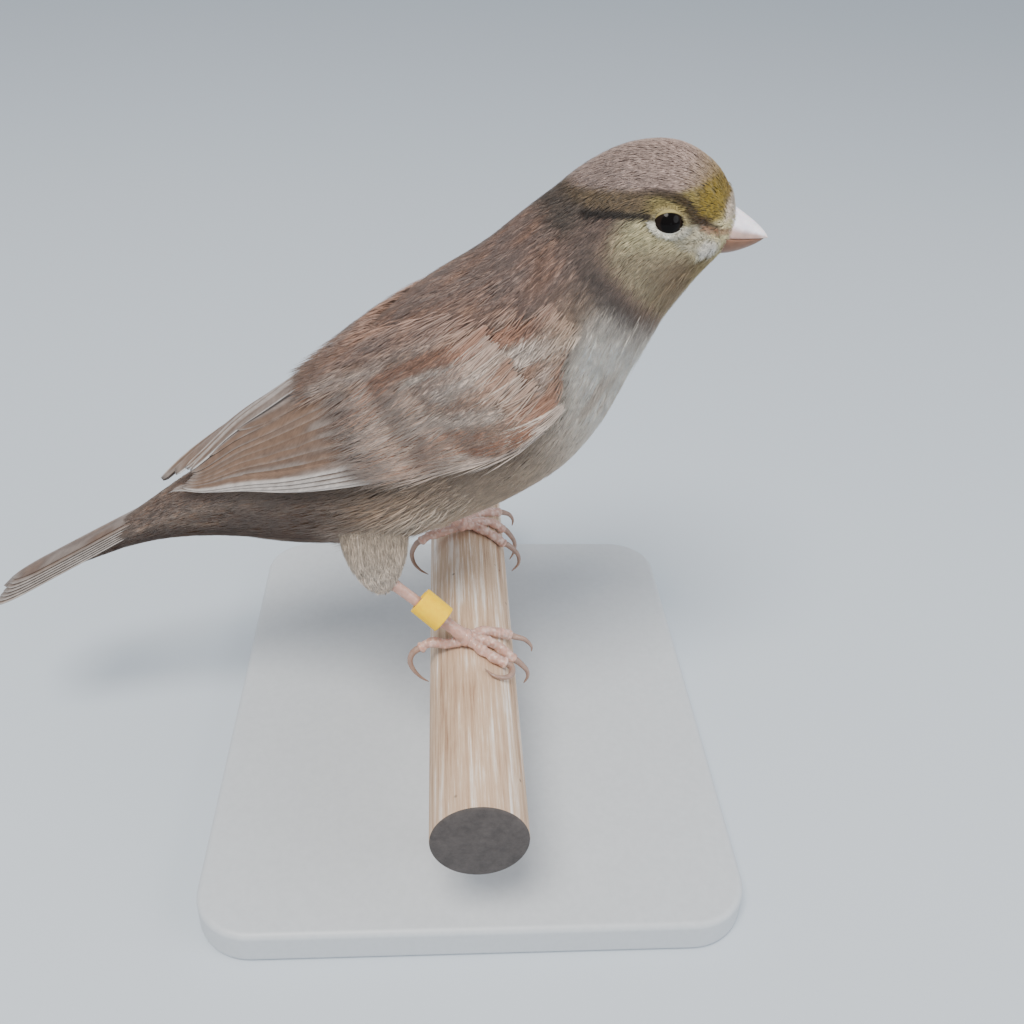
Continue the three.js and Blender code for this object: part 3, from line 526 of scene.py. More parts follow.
def rows_over(surface, s_range, a_range, row_gap, gap):
    """Roots in offset rows over part of a surface, about gap mm apart, like the rows feathers grow in."""
    roots = []
    s = s_range[0]
    k = 0
    while s < s_range[1]:
        low, high = (edge(s) if callable(edge) else edge for edge in a_range)
        fine = np.radians(np.linspace(low, high, 60))
        along, across = metric(surface, np.full(60, s), fine)
        arc = np.concatenate([[0], np.cumsum((across[1:] + across[:-1]) / 2 * np.diff(fine))])
        n = max(2, int(arc[-1] / gap))
        places = (np.arange(n) + 0.25 + 0.5 * (k % 2) + rng.uniform(-0.22, 0.22, n)) / n
        angles = np.interp(np.clip(places, 0, 1) * arc[-1], arc, fine)
        roots.append(np.stack([s + rng.uniform(-0.3, 0.3, n) * row_gap / along.mean(), angles], -1))
        s += row_gap / along.mean()
        k += 1
    return np.concatenate(roots)


def barb_places(root_s, root_a, middle, along):
    """The barbs' own spots on the map for baking, round the place of their root on the skin."""
    spot = np.stack([np.clip(middle, -1, 1), 2 * along - 1], -1)
    return (bake_place(root_s, root_a)[:, None] + 0.0015 * spot).reshape(-1, 2)


def body_coat(name, s_range, a_range, row_gap, gap, length, half, barbs, strand, stations=3, sink=None,
              rise=0.0, shaft=0.0, fringe=0.0, keep=None, lie=0.0, ragged=0.16,
              surface=on_body, colour=plumage):
    """A piece of the coat over part of a surface. length, half width, sink of the root, rise of the tip and
    lie are numbers, or functions of the place of each root. Each tuft has its colour from the plumage, with
    paler, darker or shaded barbs in it; shaft darkens its middle, and fringe lightens its sides and end."""
    roots = rows_over(surface, s_range, a_range, row_gap, gap)
    if keep is not None:
        roots = roots[keep(roots[:, 0], roots[:, 1])]
    s, angle = roots.T
    value = lambda v: (v(s, angle) if callable(v) else np.full(len(s), float(v)))
    grown = value(length) * rng.uniform(0.85, 1.15, len(s))
    deep = coat_depth(s) if sink is None else value(sink)
    turn = value(lie) + rng.normal(0, 0.07, len(s))
    points, triangles, along, middle, root_s, root_a, seen = tufts(
        surface, s, angle, grown, value(half), barbs, deep, value(rise), turn, stations, strand, ragged)
    metric_s, metric_a = metric(surface, root_s, root_a)
    base = colour(root_s - seen[0] / metric_s, root_a + seen[1] / metric_a)
    base = base * np.repeat(rng.uniform(0.91, 1.09, (len(s), 1)), barbs, 0)
    base = base * rng.uniform(0.82, 1.19, (len(root_s), 1))
    # Painted shade: each barb is darker towards its root, deep in the coat, and lighter at its tip.
    shade = 0.80 + 0.26 * along
    shade = shade * (1 - shaft * np.exp(-(middle / 0.22) ** 2))
    shade = shade * (1 + fringe * smooth(0.55, 1.0, np.abs(middle)) + fringe * smooth(0.6, 1, along))
    colours = (base[:, None] * shade[..., None]).reshape(-1, 3)
    piece = solid_mesh(name, points.reshape(-1, 3), triangles, np.clip(colours, 0, 1),
                       barb_places(root_s, root_a, middle, along))
    piece.data.materials.append(body_feathers)
    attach(piece, "root")
    return piece


def face_length(s, angle):
    """Short on the face, and cut where a feather would lie over the eye."""
    length = np.interp(s, [13, 14.5, 16, 17.2, 18.8], [3.6, 2.9, 2.2, 1.7, 1.1])
    for share in (0.8, 0.75, 0.7, 0.65, 0.6, 0.6):
        inside = np.min([near_eye(s, angle, length * part) for part in (0.4, 0.7, 1.0)], 0) < 1.0
        length = np.where(inside, length * share, length)
    return np.maximum(length, 0.45)


def clear_of_eye(s, angle):
    """Whether a feather neither grows in the eye's opening nor reaches into it."""
    return (near_eye(s, angle) > 1.0) & (near_eye(s, angle, face_length(s, angle)) > 0.95)


def on_ring(s, angle):
    """Whether a place is on the ring of feathers round the eye."""
    near = near_eye(s, angle)
    return (near > 0.93) & (near < 1.22)


def off_the_eye(s, angle):
    """Turns the lie of the ring's feathers straight away from the eye."""
    along, across = metric(on_body, np.full(1, EYE[0]), np.full(1, EYE[1]))
    away = angle - np.sign(angle) * EYE[1]
    return np.arctan2(away * across[0], -(s - EYE[0]) * along[0])


for side, span in (("right", (60, 98)), ("left", (-98, -60))):
    body_coat("coat_eye_ring_" + side, (14.4, 16.2), span, row_gap=0.22, gap=0.22, length=0.85, half=0.17,
              barbs=5, strand=0.042, keep=on_ring, sink=0.15, rise=0.30, fringe=0.1, lie=off_the_eye,
              ragged=0.3)
body_coat("coat_crown", (13.2, 18.6), (-62, 62), row_gap=0.60, gap=0.52, length=face_length, half=0.42,
          barbs=6, strand=0.054, keep=clear_of_eye, shaft=0.12, fringe=0.08, rise=0.05)
for side, span in (("right", (60, 128)), ("left", (-128, -60))):
    body_coat("coat_face_" + side, (12.9, 18.8), span, row_gap=0.58, gap=0.48, length=face_length, half=0.40,
              barbs=6, strand=0.052, keep=clear_of_eye, shaft=0.06, fringe=0.12, rise=0.08)
body_coat("coat_throat", (12.9, 18.7), (126, 234), row_gap=0.62, gap=0.55,
          length=lambda s, a: face_length(s, a) * 1.2, half=0.42, barbs=6, strand=0.056, shaft=0.1,
          fringe=0.15, rise=0.4, ragged=0.3)
body_coat("coat_neck", (11.3, 13.5), (-180, 180), row_gap=0.8, gap=0.8, length=4.4, half=0.75, barbs=9,
          strand=0.07, shaft=0.1, fringe=0.12, rise=0.1)
body_coat("coat_breast", (8.4, 11.9), (80, 280), row_gap=1.1, gap=1.05, length=6.2, half=1.05, barbs=11,
          strand=0.085, shaft=0.05, fringe=0.1, rise=0.15)


def full_by_thigh(s, angle):
    """The flank's feathers stand fuller where they cover the top of a thigh."""
    degrees = np.degrees(from_back(angle))
    return 0.2 + 2.8 * np.exp(-((s - 6.9) / 0.8) ** 2 - ((degrees - 116) / 20) ** 2)


for side, span in (("right", (80, 180)), ("left", (-180, -80))):
    body_coat("coat_belly_" + side, (4.2, 8.8), span, row_gap=1.15, gap=1.05,
              length=lambda s, a: 6.6 + 2.2 * full_by_thigh(s, a), half=1.15, barbs=11, strand=0.085,
              shaft=0.05, fringe=0.12, rise=full_by_thigh)


def on_mantle(s, angle, lift):
    """The back's coat fills the hollow between the folded wings."""
    degrees = np.degrees(from_back(angle))
    hollow = 1.9 * smooth(4.6, 6.8, s) * smooth(11.2, 9.4, s) * smooth(80, 50, degrees)
    return on_body(s, angle, lift + hollow)


for side, span in (("right", (-2, 86)), ("left", (-86, 2))):
    body_coat("coat_mantle_" + side, (4.8, 11.9), span, row_gap=1.2, gap=1.15, length=6.4, half=1.2, barbs=11,
              strand=0.085, shaft=0.1, fringe=0.12, rise=0.15, surface=on_mantle)
body_coat("coat_tail_root", (-0.6, 5.2), (-180, 180), row_gap=1.25, gap=1.05, length=7.0, half=1.1, barbs=11,
          strand=0.085, shaft=0.08, fringe=0.1, rise=0.1)
body_coat("coat_bill_edge", (17.7, 18.7), (-180, 180), row_gap=0.45, gap=0.45,
          length=lambda s, a: 1.4 + 0.5 * smooth(1.3, 0.7, np.abs(a)), half=0.30, barbs=6, strand=0.042,
          sink=0.25, rise=lambda s, a: 0.32 + 0.25 * smooth(1.3, 0.7, np.abs(a)), fringe=0.15, lie=math.pi,
          ragged=0.35)


def on_gape(s, angle):
    """Whether a place is on the pale spot at the corner of the mouth."""
    return np.hypot((s - 16.55) * 1.7, (np.degrees(from_back(angle)) - 106) / 7.5) < 1.5


for side, span in (("right", (92, 120)), ("left", (-120, -92))):
    body_coat("coat_gape_" + side, (15.8, 17.6), span, row_gap=0.34, gap=0.34, length=1.5, half=0.34, barbs=6,
              strand=0.045, sink=0.2, rise=0.5, fringe=0.1, keep=on_gape,
              lie=lambda s, a: rng.normal(0, 0.7, len(s)), ragged=0.3)


# ---- Wings ----
# A folded wing lies over the flank: primaries and secondaries stacked under the tertials, and small vanes at
# its front. Each feather is a closed thin sheet with a pale edge, a raised shaft and fine barbs in it.

# Height over the body's middle and half width of the folded wings at stations 0 to 12, and for each side the
# lower and upper edge in degrees down from the back at stations 2 to 11, and the side's sign.
WING_HEIGHT = [3.6, 5.8, 7.7, 9.7, 12.4, 14.5, 16.3, 17.4, 18.3, 18.9, 18.3, 16.5, 14.7]
WING_WIDTH = [3.8, 5.4, 7.0, 9.4, 12.0, 13.9, 15.4, 16.4, 16.9, 17.0, 16.6, 15.4, 13.6]
WING_EDGES = {
    "right": ([47, 60, 69, 76, 80, 86, 94, 103, 105, 92], [34, 28, 21, 17, 15, 15, 21, 34, 50, 68], 1),
    "left": ([-10, 24, 50, 68, 80, 86, 94, 103, 105, 92], [-36, -30, -23, -19, -17, -15, 2, 28, 48, 68], -1),
}
WING_TIP = 2


def on_wing(s, angle, lift):
    """A point over the outer faces of the folded wings, as on_body is for the body."""
    x, z, slope, _, belly, _ = section(s)
    c = np.cos(angle)
    up = (np.where(c > 0, follow(WING_HEIGHT, s), belly + 2) + lift) * c
    out = (follow(WING_WIDTH, s) + lift) * np.sin(angle)
    return np.stack([x - up * np.sin(slope), -out, z + up * np.cos(slope)], -1) + UP


def wing_edge(side, s, which):
    """The folded wing's lower (0) or upper (1) edge at station s, in radians down from the back's middle."""
    return np.radians(follow(WING_EDGES[side][which], np.minimum(s, 11) - WING_TIP))


def vane_points(side, root, tip, across, span, lift, tilt, dip, droop):
    """A feather's vane over the wing, as two faces of a closed thin sheet, and each point's place on it: t
    along the shaft and e from its inner to its outer edge."""
    steps, sides, point, thick = 40, 12, 0.62, 0.1
    mirror = WING_EDGES[side][2]
    t = np.linspace(0, 1, steps)[:, None]
    edges = np.sin(np.linspace(-0.5, 0.5, sides) * np.pi)
    e = edges[None, :] * np.ones_like(t)
    s = root + (tip - root) * t
    low, high = wing_edge(side, s, 0), wing_edge(side, s, 1)
    radius = (follow(WING_WIDTH, s) + follow(WING_HEIGHT, s)) / 2
    rounded = np.maximum(0, (t - point) / (1 - point)) ** 2.4
    shape = np.minimum(1, 0.5 + 1.6 * t) * np.sqrt(np.maximum(0.0016, 1 - rounded))
    reach = np.minimum(np.maximum(span / 2 * (low - high), 1.15 / radius), (low - high) / 2) * shape
    centre = np.clip(low + (high - low) * across, high + reach, low - reach)
    angle = centre + e * reach
    height = lift + tilt * e - dip * np.maximum(0, 1 - t * 3.5) + 0.10 * (1 - e * e) - droop * t ** 3
    height = height + 0.10 * np.exp(-((e - 0.15) / 0.09) ** 2) * (1 - t)
    height = height + 0.03 * (mottle(s * 2.2 + root * 7, e * 1.5 + across * 31, 12) - 0.5)
    thin = thick * (1 - 0.7 * np.abs(e) ** 3)
    outer = on_wing(s + 0 * e, mirror * angle, height)
    inner = on_wing(s + 0 * e, mirror * angle, height - thin)
    return outer, inner, t + 0 * e, e


def sheet_faces(steps, sides, mirror):
    """The triangles of a closed thin sheet: an outer grid, an inner grid and the strip between their rims."""
    outer = np.arange(steps * sides).reshape(steps, sides)
    inner = outer + steps * sides
    quads = [np.stack([outer[:-1, :-1], outer[1:, :-1], outer[1:, 1:], outer[:-1, 1:]], -1).reshape(-1, 4),
             np.stack([inner[:-1, :-1], inner[:-1, 1:], inner[1:, 1:], inner[1:, :-1]], -1).reshape(-1, 4)]
    rim = np.concatenate([outer[0], outer[1:, -1], outer[-1, -2::-1], outer[-2:0:-1, 0]])
    under = rim + steps * sides
    quads.append(np.stack([rim, np.roll(rim, -1), np.roll(under, -1), under], -1))
    quads = np.concatenate(quads)
    if mirror < 0:
        quads = quads[:, ::-1]
    return np.concatenate([quads[:, [0, 1, 2]], quads[:, [0, 2, 3]]])


FLIGHT = (0.125, 0.084, 0.064)
FLIGHT_WARM = (0.16, 0.098, 0.066)
FLIGHT_EDGE = (0.42, 0.385, 0.36)
VANE_SHAFT = (0.11, 0.07, 0.05)
VANE_RIM = (0.08, 0.05, 0.036)
# The four kinds of vane, from the front one to the tertials. across is 0 at the wing's lower edge and 1 at
# its upper one, from low to high. step and curve shorten each next feather. back colours the inner edge by an
# amount, for each side.
NO_BACK = (0.0, FLIGHT_EDGE)
GREY_BACK = (0.9, (0.60, 0.59, 0.58))
# Near-black inner edge for the near wing's top tertial: partly its own dark inner web, partly painted shadow
# of the gap between the folded wings.
DARK_WEB_AND_GAP_SHADOW = (0.95, (0.02, 0.013, 0.01))
WING_TIERS = [
    dict(root=10.4, tip=6.6, step=0.3, curve=0.0, low=0.0, high=0.05, count=2, overlap=2.0, lift=-0.5,
         rise=0.1, dip=3.0, tilt=0.15, droop=0.3, rim={"right": (0.5, -0.6), "left": (0.5, -0.6)},
         back={"right": NO_BACK, "left": NO_BACK}),
    dict(root=8.3, tip=2.0, step=0.04, curve=0.01, low=0.0, high=0.21, count=6, overlap=2.2, lift=-1.0,
         rise=0.09, dip=0.3, tilt=0.30, droop=0.1, rim={"right": (0.95, 0.3), "left": (0.95, 0.3)},
         back={"right": NO_BACK, "left": NO_BACK}),
    dict(root=8.4, tip=2.45, step=0.05, curve=0.005, low=0.28, high=0.70, count=6, overlap=2.4, lift=-0.75,
         rise=0.03, dip=0.3, tilt=0.12, droop=0.1, rim={"right": (0.16, 0.6), "left": (0.16, 0.6)},
         back={"right": NO_BACK, "left": GREY_BACK}),
    dict(root=8.6, tip=2.8, step=0.45, curve=0.1, low=0.78, high=1.0, count=3, overlap=2.0, lift=-0.55,
         rise=0.05, dip=0.3, tilt=0.12, droop=0.0, rim={"right": (0.2, 0.7), "left": (0.6, 0.1)},
         back={"right": DARK_WEB_AND_GAP_SHADOW, "left": GREY_BACK}),
]
# The left wing lies a little lower, and its feathers end nearly in line; the long ones reach further back.
LEFT_LOWER = 0.45
LEFT_FURTHER = 0.2
LEFT_STEP = 0.12


def vane_colours(t, e, edge, shade, seed, start=0.45, back=NO_BACK):
    """A flight feather: brown, with a pale outer edge from start on, soft patches and a dark shaft."""
    patches = mottle(t * 7 + seed * 3.7, e * 1.2 + seed * 5.1, 6)
    colour = toward(plain(t.shape, FLIGHT), FLIGHT_WARM, 0.8 * smooth(0.4, 0.7, patches))
    colour = toward(colour, FLIGHT_EDGE, 0.25 * smooth(0.45, 0.2, patches))
    ragged = e + 0.25 * (mottle(t * 30, e * 2 + seed, 7) - 0.5)
    colour = toward(colour, FLIGHT_EDGE, edge * smooth(start, start + 0.45, ragged))
    colour = toward(colour, FLIGHT_EDGE, 0.3 * smooth(0.93, 1.0, t))
    colour = toward(colour, VANE_SHAFT, 0.6 * np.exp(-((e - 0.15) / 0.06) ** 2) * (1 - 0.5 * t))
    colour = toward(colour, VANE_RIM, 0.5 * smooth(-0.84, -0.97, e))
    # The inner edge's colour; for the near wing's top tertial this is partly painted shadow of the gap
    # between the wings.
    colour = toward(colour, back[1], back[0] * smooth(-0.4, -0.62, e))
    return colour * shade


def joined_sheets(name, sheets, cells):
    """Many thin sheets as one piece. Each has its own cell on the map for baking, and its lie on the vane
    map."""
    points, triangles, colours, places, lies = [], [], [], [], []
    start = 0
    for k, (outer, inner, t, e, colour, mirror) in enumerate(sheets):
        steps, sides = t.shape
        cell = np.array([k % cells, k // cells]) / cells
        place = cell + (0.08 + 0.40 * np.stack([(e + 1) / 2, t * 2.1], -1)) / cells
        back_place = place + np.array([0.44, 0]) / cells
        length = np.linalg.norm(outer[-1].mean(0) - outer[0].mean(0))
        lie = np.stack([t * length * 0.1 + k, e * 0.25], -1).reshape(-1, 2)
        points += [outer.reshape(-1, 3), inner.reshape(-1, 3)]
        # The inner faces get 0.8 of the colour: painted shade on the sheets' undersides.
        colours += [colour.reshape(-1, 3), colour.reshape(-1, 3) * 0.8]
        places += [place.reshape(-1, 2), back_place.reshape(-1, 2)]
        lies += [lie, lie]
        triangles.append(sheet_faces(steps, sides, mirror) + start)
        start += 2 * steps * sides
    triangles = np.concatenate(triangles)
    piece = solid_mesh(name, np.concatenate(points), triangles, np.clip(np.concatenate(colours), 0, 1),
                       np.concatenate(places))
    layer = piece.data.uv_layers.new(name="Vane")
    layer.data.foreach_set("uv", np.concatenate(lies)[triangles.ravel()].astype(np.float32).ravel())
    return piece


# Fine barbs slant away from the shaft, by the vane map, over the plumage's own colours.
flight_feathers = feather_material("flight_feathers", 0.55, 0.1)
wire(flight_feathers.node_tree, {
    "shader": ("Principled BSDF", {}),
    "grain": ("Group", {}),
    "lie": ("ShaderNodeUVMap", {"uv_map": "Vane"}),
    "parts": ("ShaderNodeSeparateXYZ", {}),
    "side": ("ShaderNodeMath", {"operation": "ABSOLUTE"}),
    "slant": ("ShaderNodeMath", {"operation": "SUBTRACT"}),
    "fine": ("ShaderNodeMath", {"operation": "MULTIPLY", 1: 0.18}),
    "place": ("ShaderNodeCombineXYZ", {}),
    "barbs": ("ShaderNodeTexNoise", {"Scale": 45, "Detail": 2}),
    "tone": ("ShaderNodeMapRange", {"From Min": 0.35, "From Max": 0.65, "To Min": 0.84, "To Max": 1.13}),
    "mix": ("ShaderNodeVectorMath", {"operation": "SCALE"}),
    "bump": ("ShaderNodeBump", {"Strength": 0.35, "Distance": 0.0001}),
}, ["lie.UV > parts.Vector", "parts.Y > side.0", "parts.X > slant.0", "side.Value > slant.1",
    "slant.Value > place.X", "side.Value > fine.0", "fine.Value > place.Y", "place.Vector > barbs.Vector",
    "barbs.Fac > tone.Value", "grain.Colour > mix.0", "tone.Result > mix.Scale",
    "mix.Vector > shader.Base Color", "barbs.Fac > bump.Height", "bump.Normal > shader.Normal"])
for side in ("right", "left"):
    mirror = WING_EDGES[side][2]
    sheets = []
    for tier in WING_TIERS:
        spacing = (tier["high"] - tier["low"]) / (tier["count"] - 1)
        for k in range(tier["count"]):
            shorter = tier["step"] * k + tier["curve"] * k * k
            tip, lift = tier["tip"] + shorter, tier["lift"] + tier["rise"] * k
            if side == "left":
                tip = tier["tip"] + shorter * LEFT_STEP - (LEFT_FURTHER if tier["tip"] < 3 else 0)
                lift -= LEFT_LOWER
            outer, inner, t, e = vane_points(
                side, tier["root"], tip, tier["low"] + spacing * k, spacing * tier["overlap"], lift,
                tier["tilt"], tier["dip"], tier["droop"])
            edge, start = tier["rim"][side]
            shade = rng.uniform(0.93, 1.07)
            colour = vane_colours(t, e, edge, shade, len(sheets), start, tier["back"][side])
            sheets.append((outer, inner, t, e, colour, mirror))
    wing = joined_sheets("flight_feathers_" + side, sheets, 5)
    wing.data.materials.append(flight_feathers)
    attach(wing, "root")
    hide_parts("wing_" + side)


# ---- Wing coverts ----
# Rows of rounded greater and median coverts lie over the roots of the flight feathers, then a soft cover of
# small ones up to the shoulder, and scapulars from the back over the wing's upper edge. All are barb by barb.
COVERT_BROWN = (0.35, 0.235, 0.175)
COVERT_RUFOUS = (0.315, 0.152, 0.092)
COVERT_PALE = (0.61, 0.52, 0.45)
COVERT_GREY = (0.49, 0.39, 0.335)
# Bands over the folded wing: tone, half width in mm, strength, and points (station, degrees down).
COVERT_BANDS = [
    ("pale", 1.9, 0.75, [(8.4, 52), (9.0, 56), (9.6, 64), (10.2, 72), (10.8, 82)]),
    ("pale", 1.5, 0.6, [(8.8, 63), (10.0, 70), (10.6, 79), (11.0, 90)]),
    ("pale", 1.4, 0.7, [(8.2, 69), (8.8, 75), (9.3, 83)]),
    ("grey", 1.7, 0.7, [(7.1, 58), (8.1, 69)]),
    ("rufous", 1.3, 0.85, [(7.2, 44), (8.1, 43), (8.9, 47), (9.6, 54), (10.2, 61), (10.8, 69)]),
    ("rufous", 0.8, 0.4, [(7.6, 50), (8.8, 57), (9.6, 62)]),
    ("rufous", 0.8, 0.75, [(7.9, 73), (8.4, 78), (8.9, 87)]),
    ("rufous", 1.2, 0.8, [(6.8, 72), (7.4, 80), (8.0, 87), (9.0, 95), (9.5, 98)]),
    ("pale", 0.9, 0.8, [(6.6, 86), (8.0, 99), (9.0, 105), (9.9, 105)]),
]
COVERT_TONES = {"pale": COVERT_PALE, "rufous": COVERT_RUFOUS, "grey": COVERT_GREY}
STATION_MM = 6.3
WING_RADIUS_MM = 15


def wing_plumage(s, angle):
    """The soft colour of the coverts at a place on the wing, the same on both sides."""
    folded = from_back(angle)
    u, v = s * STATION_MM, folded * WING_RADIUS_MM
    patches = mottle(u / 7.0 + 3, v / 2.3 + 11, 8) * 0.75 + mottle(u / 2.6, v / 1.0, 9) * 0.25
    colour = toward(plain(s.shape, COVERT_BROWN), COVERT_RUFOUS, 0.5 * smooth(0.5, 0.7, patches))
    colour = toward(colour, COVERT_GREY, 0.75 * smooth(0.48, 0.3, patches))
    for tone, broad, share, line in COVERT_BANDS:
        line = [(p * STATION_MM, math.radians(q) * WING_RADIUS_MM) for p, q in line]
        away = from_line(u, v, line)[0] + (patches - 0.5) * 1.2
        colour = toward(colour, COVERT_TONES[tone], share * smooth(broad, broad * 0.35, away))
    back = plumage(s, angle)
    covered, free = (np.interp(s, [6, 8, 10, 11.5], row) for row in ([10, 24, 44, 62], [26, 38, 56, 76]))
    upper = smooth(covered, free, np.degrees(folded)) * smooth(11.3, 10.3, s)
    return back + (colour - back) * upper[..., None]


def covert_tone(s, angle, along, middle, share):
    """Each covert has a rufous-brown middle and a soft pale rim over the wing's own colour."""
    colour = wing_plumage(s[:, None] + 0 * along, angle[:, None] + 0 * along)
    rim = smooth(0.35, 1.0, np.sqrt(0.7 * middle ** 2 + np.clip(along, 0, 1) ** 4 * 0.6))
    colour = toward(colour, COVERT_RUFOUS, 0.35 * share * (1 - rim))
    return toward(colour, COVERT_PALE, 0.55 * share * rim)


COVERT_ROWS = [
    # stations of root and tip, places across, count, width over spacing, depth of the root, height of the tip
    dict(root=8.9, tip=6.35, low=0.08, high=0.98, count=10, wide=0.85, sink=0.9, rise=0.1, share=1.0),
    dict(root=9.5, tip=7.6, low=0.06, high=0.97, count=11, wide=0.9, sink=0.7, rise=0.3, share=0.8),
    dict(root=10.0, tip=8.5, low=0.05, high=0.96, count=12, wide=0.95, sink=0.6, rise=0.4, share=0.5),
]
COVERT_BARBS = 61


def wing_gap(s, angle):
    """How far the wing's outer face stands over the body."""
    return np.linalg.norm(on_wing(s, angle, 0.0) - on_body(s, angle, 0.0), axis=-1)


def root_depth(s, angle):
    """Deeper to the front, so that the cover of the shoulder grows out of the body's coat."""
    front = smooth(9.4, 10.8, s)
    return (1 - front) * 0.8 + front * (wing_gap(s, angle) + 0.6)


def tip_height(s, angle):
    """Loose over the wing, and close to the body at its front."""
    front = smooth(9.6, 11.5, s)
    return (1 - front) * 0.5 - front * 0.75 * wing_gap(s, angle)


for side in ("right", "left"):
    mirror = WING_EDGES[side][2]
    points_all, triangles_all, colours_all, places_all = [], [], [], []
    start = 0
    for row in COVERT_ROWS:
        count = row["count"]
        across = np.linspace(row["low"], row["high"], count) + rng.uniform(-0.02, 0.02, count)
        s = np.full(count, row["root"]) + rng.uniform(-0.08, 0.08, count)
        low, high = wing_edge(side, s, 0), wing_edge(side, s, 1)
        angle = mirror * (low + (high - low) * across)
        along, round_it = metric(on_wing, s, angle)
        length = (s - row["tip"]) * along * rng.uniform(0.94, 1.06, count)
        half = (low - high) / (count - 1) * round_it * row["wide"]
        points, triangles, along, middle, root_s, root_a, _ = tufts(
            on_wing, s, angle, length, half, COVERT_BARBS, sink=np.full(count, row["sink"]),
            rise=np.full(count, row["rise"]), stations=4, strand=0.085, ragged=0.04,
            lie=mirror * np.interp(across, [0, 0.35, 1], [-0.36, -0.08, 0.1]))
        mid_s = root_s - (root_s - row["tip"]) * 0.6
        colours = covert_tone(mid_s, root_a, along, middle, row["share"])
        # Painted shade: each barb is darker towards its root and lighter at its tip.
        colours = colours * ((0.84 + 0.22 * along) * rng.uniform(0.92, 1.08, (len(root_s), 1)))[..., None]
        points_all.append(points.reshape(-1, 3))
        triangles_all.append(triangles + start)
        colours_all.append(colours.reshape(-1, 3))
        places_all.append(barb_places(root_s, root_a, middle, along))
        start += points.shape[0] * points.shape[1]
    coverts = solid_mesh("wing_coverts_" + side, np.concatenate(points_all), np.concatenate(triangles_all),
                         np.clip(np.concatenate(colours_all), 0, 1), np.concatenate(places_all))
    coverts.data.materials.append(body_feathers)
    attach(coverts, "root")

    lower_edge, upper_edge = (lambda s, which=which: mirror * np.degrees(wing_edge(side, np.array(s), which))
                              for which in (0, 1))
    slanted = lambda s, a: mirror * np.interp(np.degrees(mirror * a), [60, 80, 100], [0.14, -0.05, -0.35])
    spread = (lambda s: upper_edge(s) - mirror * 3,
              lambda s: lower_edge(s) - mirror * np.interp(s, [9, 10.2], [5, 0]))
    body_coat("coat_shoulder_" + side, (9.0, 11.6), spread[::mirror], row_gap=1.0, gap=1.05, length=5.2,
              half=1.15, barbs=13, strand=0.08, stations=4, sink=root_depth, rise=tip_height, fringe=0.06,
              lie=slanted, surface=on_wing, colour=wing_plumage, ragged=0.1)
    spread = (lambda s: upper_edge(s) - mirror * 16, lambda s: upper_edge(s) + mirror * 14)
    body_coat("coat_scapulars_" + side, (7.0, 11.2), spread[::mirror], row_gap=1.2, gap=1.15, length=7.5,
              half=1.25, barbs=13, strand=0.085, stations=4, sink=lambda s, a: root_depth(s, a) + 0.7,
              rise=tip_height, fringe=0.06, lie=mirror * 0.1, surface=on_wing, colour=wing_plumage,
              ragged=0.1)


# ---- Tail ----
# Twelve tail feathers in six pairs, each a closed thin sheet: the middle pair lies on top, and the outer
# ones are stepped below it and a little longer, which gives the shallow notch.
TAIL_ROOT, TAIL_END = np.array([-47.5, 16.9 + PERCH_TOP]), np.array([-79.5, -2.0 + PERCH_TOP])
TAIL_LENGTH = np.linalg.norm(TAIL_END - TAIL_ROOT)
TAIL_PAIRS = 6
TAIL_STEP = 0.75
TAIL_HALF_WIDTH = 2.5
tail_along = (TAIL_END - TAIL_ROOT) / TAIL_LENGTH
tail_up = np.array([tail_along[1], -tail_along[0]])
sheets = []
for pair in range(TAIL_PAIRS):
    for mirror in (1, -1):
        length = TAIL_LENGTH - TAIL_STEP * (TAIL_PAIRS - 1 - pair)
        t = np.linspace(0, 1, 34)[:, None]
        e = np.sin(np.linspace(-0.5, 0.5, 10) * np.pi)[None] + 0 * t
        rounded = np.maximum(0, (t - 0.8) / 0.2) ** 2
        shape = np.minimum(1, 0.75 + 0.5 * t) * np.sqrt(np.maximum(0.003, 1 - rounded))
        shaft = 0.5 + 0.36 * (pair + 0.5) * (0.4 + 0.6 * t)
        y = mirror * (shaft + e * TAIL_HALF_WIDTH * shape * np.where(e > 0, 0.8, 1))
        layer = pair + (0 if mirror > 0 else 0.5)
        height = 1.5 - 0.24 * layer - 0.08 * np.abs(y) + 0.10 * np.exp(-(e / 0.1) ** 2)
        spot = TAIL_ROOT + tail_along * (length * t)[..., None] + tail_up * height[..., None]
        outer = np.stack([spot[..., 0], y, spot[..., 1]], -1)
        inner = outer - np.array([tail_up[0], 0, tail_up[1]]) * 0.12
        t = t + 0 * e
        shade = rng.uniform(0.85, 0.98)
        colour = vane_colours(t, e, 0.85 if pair else 0.4, shade, 40 + len(sheets), 0.55)
        sheets.append((outer, inner, t, e, colour, -mirror))
tail = joined_sheets("tail_feathers", sheets, 4)
tail.data.materials.append(flight_feathers)
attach(tail, "root")
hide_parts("tail")


# ---- Bill ----
# A short stout cone of smooth horn in two halves, pinkish white above and brownish below, with a nostril
# each side of its root and a line of the mouth that dips at the gape.
BILL_ROOT, BILL_TIP = (turn_head(np.array(end)) + UP for end in ((32.7, 0, 64.5), (40.5, 0, 63.1)))
BILL_HALF_WIDTH = 3.6
NOSTRIL = (35.2, 2.0, 65.4)
NOSTRIL_DEPTH = 0.55
HORN_WHITE, HORN_TIP, HORN_EDGE = (0.98, 0.92, 0.99), (0.85, 0.72, 0.68), (0.45, 0.25, 0.17)
HORN_LOW, HORN_LOW_EDGE = (0.195, 0.092, 0.05), (0.50, 0.36, 0.30)


